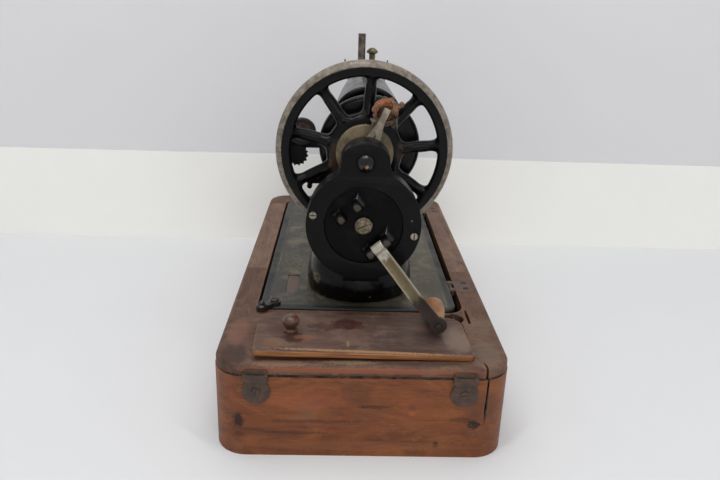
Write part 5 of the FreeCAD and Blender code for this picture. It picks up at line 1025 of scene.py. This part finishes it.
def makeLugBases(look):
    shell = bmesh.new()
    for end in (1, -1):
        for side in (1, -1):
            for vert in bmesh.ops.create_cube(shell, size=1.0)["verts"]:
                high, outward = vert.co.z > 0, vert.co.y > 0
                reach = look["halfTop"] if high else look["half"]
                outer = look["outerTop"] if high else look["outer"]
                spread = outer if outward else look["inner"]
                far = end * look["along"] + reach * (1 if vert.co.x > 0 else -1)
                corner = gearCentre + crankAlong * far + crankAcross * side * spread
                corner.y = look["top"] if high else look["foot"]
                vert.co = corner
    bmesh.ops.recalc_face_normals(shell, faces=shell.faces)
    bmesh.ops.bevel(shell, geom=shell.edges[:], offset=look["bevel"], segments=2, profile=0.5,
                    affect="EDGES", material=-1)
    finishPiece("lugBases", shell, "crank", lugTips, sharp=40)


makeLugBases(lugShape)

# Turned pieces, spun smooth; the points are (radius, distance along the axis)


def smoothProfile(points, pieces=5):  # more points, on a soft curve through the given ones
    full = []
    padded = [points[0]] + list(points) + [points[-1]]
    for i in range(1, len(padded) - 2):
        p0, p1, p2, p3 = (Vector(p) for p in padded[i - 1:i + 3])
        for k in range(pieces):
            t = k / pieces
            bend = (2 * p0 - 5 * p1 + 4 * p2 - p3) * t ** 2 + (3 * p1 - p0 - 3 * p2 + p3) * t ** 3
            radius, far = 0.5 * (2 * p1 + (p2 - p0) * t + bend)
            full.append((max(radius, 0.0), far))
    return full + [tuple(points[-1])]


def spinProfile(points, centre, axis, steps=48):
    shell = bmesh.new()
    side = axis.orthogonal().normalized()
    verts = [shell.verts.new(centre + side * radius + axis * far)
             for radius, far in smoothProfile(points)]
    edges = [shell.edges.new(pair) for pair in zip(verts, verts[1:])]
    bmesh.ops.spin(shell, geom=verts + edges, cent=centre, axis=axis, angle=math.tau,
                   steps=steps, use_merge=True)
    bmesh.ops.remove_doubles(shell, verts=shell.verts, dist=2e-5)
    return shell


lidKnob = {"tall": 0.0150, "shift": 0.0002, "profile": [
    (0.0, -0.0010), (0.0050, -0.0010), (0.0053, 0.0004), (0.0051, 0.0016), (0.0042, 0.0026),
    (0.0040, 0.0036), (0.0048, 0.0050), (0.0060, 0.0066), (0.0064, 0.0084), (0.0061, 0.0104),
    (0.0047, 0.0122), (0.0025, 0.0133), (0.0, 0.0137)]}
gripProfile = [
    (0.0022, 0.0), (0.0050, 0.0002), (0.0056, 0.0010), (0.0053, 0.0032), (0.0058, 0.0072),
    (0.0072, 0.0140), (0.0082, 0.0205), (0.0086, 0.0258), (0.0081, 0.0305), (0.0066, 0.0338),
    (0.0046, 0.0357), (0.0022, 0.0360)]


def makeLidKnob(look):
    low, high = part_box("lid_knob")
    middleX, middleY = (low.x + high.x) / 2, (low.y + high.y) / 2
    foot = Vector((middleX - look["shift"], middleY, high.z - look["tall"]))
    upright = Vector((math.sin(lidLean), 0, math.cos(lidLean)))
    shell = spinProfile(look["profile"], foot, upright)
    finishPiece("knobTurning", shell, "lid", knobWood, ("lid_knob",))


def makeGrip(profile):
    low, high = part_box("crank_grip")
    start = Vector(((low.x + high.x) / 2, low.y, (low.z + high.z) / 2))
    shell = spinProfile(profile, start, Vector((0, 1, 0)))
    finishPiece("gripTurning", shell, "grip", gripWood, ("crank_grip",))


makeLidKnob(lidKnob)
makeGrip(gripProfile)
print("turned pieces made")

# Worn leather round the drive finger's peg

wrapShape = {
    "angle": 67,
    "reach": 0.037,
    "front": -0.1311,
    "fray": 0.0012,
    "coreCentre": (0.0004, -0.1222, 0.0008),
    "coreRadii": (0.0086, 0.0070, 0.0088),
    "coreCrumple": 0.0009,
    "tongueCrumple": 0.0010,
}
wrapStrips = [
    # name, leather, start and end angle, radii, depths along Y, thickness, crumple
    ("orangeStrip", "orange", 20, 190, (0.0070, 0.0094), (0.0002, 0.0090), 0.0030, 0.0015),
    ("tanStrip", "tan", -95, 70, (0.0088, 0.0096), (0.0005, 0.0066), 0.0018, 0.0014),
    ("greyStrip", "grey", 120, 330, (0.0078, 0.0090), (0.0012, 0.0120), 0.0020, 0.0014),
    ("innerStrip", "tan", -40, 318, (0.0050, 0.0058), (0.0035, 0.0146), 0.0026, 0.0007),
]
wrapTongues = [
    # name, leather, place from the peg's front, size, turns about x, y and z, thickness
    ("tornEnd", "tan", (0.0085, 0.0010, 0.0050), (0.0080, 0.0050), (20, 10, 24), 0.0014),
    ("pulledFold", "tan", (0.0040, 0.0004, 0.0006), (0.0120, 0.0046), (80, 4, -22), 0.0010),
    ("hangingRag", "grey", (-0.0066, 0.0030, -0.0072), (0.0070, 0.0060), (70, 8, 60), 0.0014),
    ("lowerRag", "grey", (0.0070, 0.0030, -0.0080), (0.0056, 0.0074), (76, -6, -15), 0.0014),
]
pegAngle = math.radians(wrapShape["angle"])
peg = Vector((shaftX + wrapShape["reach"] * math.cos(pegAngle), 0,
              shaftZ + wrapShape["reach"] * math.sin(pegAngle)))


def crumple(shell, amount, seed):
    for vert in shell.verts:
        push = noise.noise_vector(vert.co * 260 + Vector((seed, 0, 0)))
        fine = noise.noise_vector(vert.co * 800 + Vector((0, seed, 0)))
        vert.co += push * amount + fine * amount * 0.35


def finishLeather(name, shell, shade, amount, seed, replaced=()):
    bmesh.ops.subdivide_edges(shell, edges=shell.edges[:], cuts=1, use_grid_fill=True)
    crumple(shell, amount, seed)
    relax(shell, shell.verts[:], 1)
    finishPiece(name, shell, "pinion", leathers[shade], replaced)


def makeStrip(look, seed, row):
    name, shade, start, end, radii, depths, thick, rough = row
    shell = bmesh.new()
    bmesh.ops.create_grid(shell, x_segments=44, y_segments=10, size=0.5)
    for vert in shell.verts:
        turn = math.radians(start + (vert.co.x + 0.5) * (end - start))
        share = vert.co.y + 0.5
        frayed = look["fray"] * noise.noise(Vector((turn * 3.1, seed, 0)))
        reach = radii[0] + (radii[1] - radii[0]) * math.sin(math.pi * share)
        depth = look["front"] + depths[0] + (depths[1] - depths[0]) * share
        depth += frayed * (2 * share - 1)
        vert.co = peg + Vector((reach * math.cos(turn), depth, reach * math.sin(turn)))
    bmesh.ops.solidify(shell, geom=shell.faces[:], thickness=thick)
    replaced = () if seed else ("finger_wrap",)  # the first strip stands for the CAD's ring
    finishLeather(name, shell, shade, rough, seed * 7.3, replaced)


def makeCore(look):
    shell = bmesh.new()
    bmesh.ops.create_icosphere(shell, subdivisions=5, radius=1.0)
    for vert in shell.verts:
        bulge = 0.22 * noise.noise(vert.co * 1.9) + 0.10 * noise.noise(vert.co * 5.3)
        swollen = Vector((vert.co.x, 0, vert.co.z)) * look["coreRadii"][0] * bulge
        ball = Vector([c * r for c, r in zip(vert.co, look["coreRadii"])])
        vert.co = peg + Vector(look["coreCentre"]) + ball + swollen
    crumple(shell, look["coreCrumple"], 91.0)
    finishPiece("wrapCore", shell, "pinion", leathers["tan"])


def makeTongue(look, seed, row):
    name, shade, offset, size, turns, thick = row
    shell = bmesh.new()
    bmesh.ops.create_grid(shell, x_segments=18, y_segments=10, size=0.5)
    for vert in shell.verts:
        ragged = 1 + 0.35 * noise.noise(Vector((vert.co.x * 9, seed * 3.7, 0)))
        curl = 0.0022 * math.sin(vert.co.x * 3.0) + 0.0010 * math.cos(vert.co.y * 4)
        vert.co = Vector((vert.co.x * size[0], vert.co.y * size[1] * ragged, curl))
    bmesh.ops.solidify(shell, geom=shell.faces[:], thickness=thick)
    for axis, degrees in zip("XYZ", turns):
        turn = Matrix.Rotation(math.radians(degrees), 3, axis)
        bmesh.ops.rotate(shell, verts=shell.verts[:], matrix=turn)
    middle = peg + Vector((offset[0], look["front"] + offset[1], offset[2]))
    bmesh.ops.translate(shell, verts=shell.verts[:], vec=middle)
    finishLeather(name, shell, shade, look["tongueCrumple"], 40 + seed * 5.1)


for seed, row in enumerate(wrapStrips):
    makeStrip(wrapShape, seed, row)
makeCore(wrapShape)
for seed, row in enumerate(wrapTongues):
    makeTongue(wrapShape, seed, row)
print("leather wrap made")

# Heart cam with its ratchet teeth under the winder pulley

camShape = {"x": -0.0555, "y": -0.0930, "z": 0.2002, "thick": 0.0026, "teeth": 15,
            "radius": 0.0080, "tooth": 0.0014}


def makeWinderCam(look):
    shell = bmesh.new()
    ring = bmesh.ops.create_circle(shell, cap_ends=True, segments=look["teeth"] * 3,
                                   radius=look["radius"])["verts"]
    for i, vert in enumerate(ring):
        vert.co *= 1 + (look["tooth"] / look["radius"]) * (i % 3 == 0)
    made = bmesh.ops.extrude_face_region(shell, geom=shell.faces[:])["geom"]
    raised = [g for g in made if isinstance(g, bmesh.types.BMVert)]
    bmesh.ops.translate(shell, verts=raised, vec=(0, 0, look["thick"]))
    bmesh.ops.recalc_face_normals(shell, faces=shell.faces)
    turn = Matrix.Rotation(math.radians(90), 3, "X")
    bmesh.ops.rotate(shell, verts=shell.verts[:], matrix=turn)
    middle = (look["x"], look["y"] + look["thick"], look["z"])
    bmesh.ops.translate(shell, verts=shell.verts[:], vec=middle)
    finishPiece("winderCam", shell, "winder", winderJapan, sharp=30)


makeWinderCam(camShape)

# Floor, wall and light

stageLook = {"floor": tone(220, 221, 222), "band": tone(249, 249, 245),
             "wall": tone(226, 225, 228), "mottle": tone(190, 190, 192), "wallY": 0.252,
             "wallStep": 0.004, "bandTop": 0.121, "half": 4.0}


def stageMaterial(name, color, oneSided):
    material, tree, shader = newMaterial(name)
    mottle = ease(tree, cloud(tree, objectPlace(tree), 9.0, 4, 0.6), 0.3, 0.7, 0.0, 0.035)
    feedAll(tree, shader, {
        "Base Color": blendColor(tree, mottle, color, stageLook["mottle"]),
        "Roughness": 0.9,
        "Specular IOR Level": 0.1,
    })
    if oneSided:  # seen from behind, the wall isn't there
        clear = addNode(tree, "BsdfTransparent").outputs[0]
        back = addNode(tree, "NewGeometry").outputs["Backfacing"]
        mixed = addNode(tree, "MixShader", {0: back, 1: shader.outputs[0], 2: clear})
        feed(tree, tree.nodes["Material Output"].inputs["Surface"], mixed.outputs[0])
    return material


def makeStage(look):
    half, wallY, bandTop = look["half"], look["wallY"], look["bandTop"]
    panels = [
        # name, colour, middle, half sizes, whether it stands upright
        ("floor", "floor", (0, 0, 0), (half, half), False),
        ("wallBand", "band", (0, wallY, bandTop / 2), (half, bandTop / 2), True),
        ("wallTop", "wall", (0, wallY + look["wallStep"], bandTop + 1.0), (half, 1.0), True),
    ]
    for name, shade, middle, (wide, deep), upright in panels:
        shell = bmesh.new()
        bmesh.ops.create_grid(shell, x_segments=1, y_segments=1, size=1.0)
        bmesh.ops.scale(shell, verts=shell.verts[:], vec=(wide, deep, 1))
        if upright:
            turn = Matrix.Rotation(math.radians(90), 3, "X")
            bmesh.ops.rotate(shell, verts=shell.verts[:], matrix=turn)
        bmesh.ops.translate(shell, verts=shell.verts[:], vec=middle)
        mesh = bpy.data.meshes.new(name)
        shell.to_mesh(mesh)
        shell.free()
        mesh.materials.append(stageMaterial(name, look[shade], upright))
        panel = bpy.data.objects.new(name, mesh)
        bpy.context.scene.collection.objects.link(panel)


makeStage(stageLook)

lamps = [
    # name, place, target, size, watts
    ("overhead", (-0.15, 0.0, 1.5), (0, 0, 0.1), (1.5, 1.1), 8.2),
    ("front", (0.35, -1.9, 0.9), (0, 0, 0.1), (1.2, 0.9), 5.2),
    ("tubeLeft", (-0.45, -0.6, 1.7), (0, 0, 0.15), (0.05, 1.3), 5.0),
    ("tubeRight", (0.5, -0.5, 1.7), (0, 0, 0.15), (0.05, 1.3), 4.0),
]
room = {"strength": 0.54, "seen": tone(214, 214, 216)}


def makeLamp(name, place, target, size, watts):
    lamp = bpy.data.lights.new(name, "AREA")
    lamp.shape = "RECTANGLE"
    lamp.size, lamp.size_y = size
    lamp.energy = watts
    holder = bpy.data.objects.new(name, lamp)
    holder.location = place
    holder.rotation_mode = "QUATERNION"
    holder.rotation_quaternion = (Vector(target) - Vector(place)).to_track_quat("-Z", "Y")
    bpy.context.scene.collection.objects.link(holder)


def makeRoom(look):  # the camera sees a pale room, the object gets its plain light
    world = bpy.data.worlds.new("room")
    world.use_nodes = True
    bpy.context.scene.world = world
    tree = world.node_tree
    seen = addNode(tree, "LightPath").outputs["Is Camera Ray"]
    lit = addNode(tree, "Background", {"Color": (1, 1, 1, 1), "Strength": look["strength"]})
    shown = addNode(tree, "Background", {"Color": look["seen"], "Strength": 1.0})
    mixed = addNode(tree, "MixShader", {0: seen, 1: lit.outputs[0], 2: shown.outputs[0]})
    feed(tree, tree.nodes["World Output"].inputs["Surface"], mixed.outputs[0])


for row in lamps:
    makeLamp(*row)
makeRoom(room)
bpy.context.scene.view_settings.view_transform = "Standard"

# Camera, fitted to the photograph

cameraFit = {"place": (-0.01934, -0.63144, 0.32355), "down": 20.008, "yaw": 1.895,
             "roll": 1.995, "lens": 33.459}


def makeCamera(look):
    down, yaw, roll = (math.radians(look[k]) for k in ("down", "yaw", "roll"))
    level = math.cos(down)
    ahead = Vector((math.sin(yaw) * level, math.cos(yaw) * level, -math.sin(down)))
    right = Vector((math.cos(yaw), -math.sin(yaw), 0))
    up = right.cross(ahead)
    rolledRight = math.cos(roll) * right + math.sin(roll) * up
    rolledUp = -math.sin(roll) * right + math.cos(roll) * up
    eye = bpy.data.cameras.new("camera")
    eye.sensor_width = 36
    eye.lens = look["lens"]
    eye.clip_start, eye.clip_end = 0.01, 20
    holder = bpy.data.objects.new("camera", eye)
    turn = Matrix((rolledRight, rolledUp, -ahead)).transposed().to_4x4()
    holder.matrix_world = Matrix.Translation(look["place"]) @ turn
    bpy.context.scene.collection.objects.link(holder)
    bpy.context.scene.camera = holder


makeCamera(cameraFit)
print("stage, lamps and camera set")
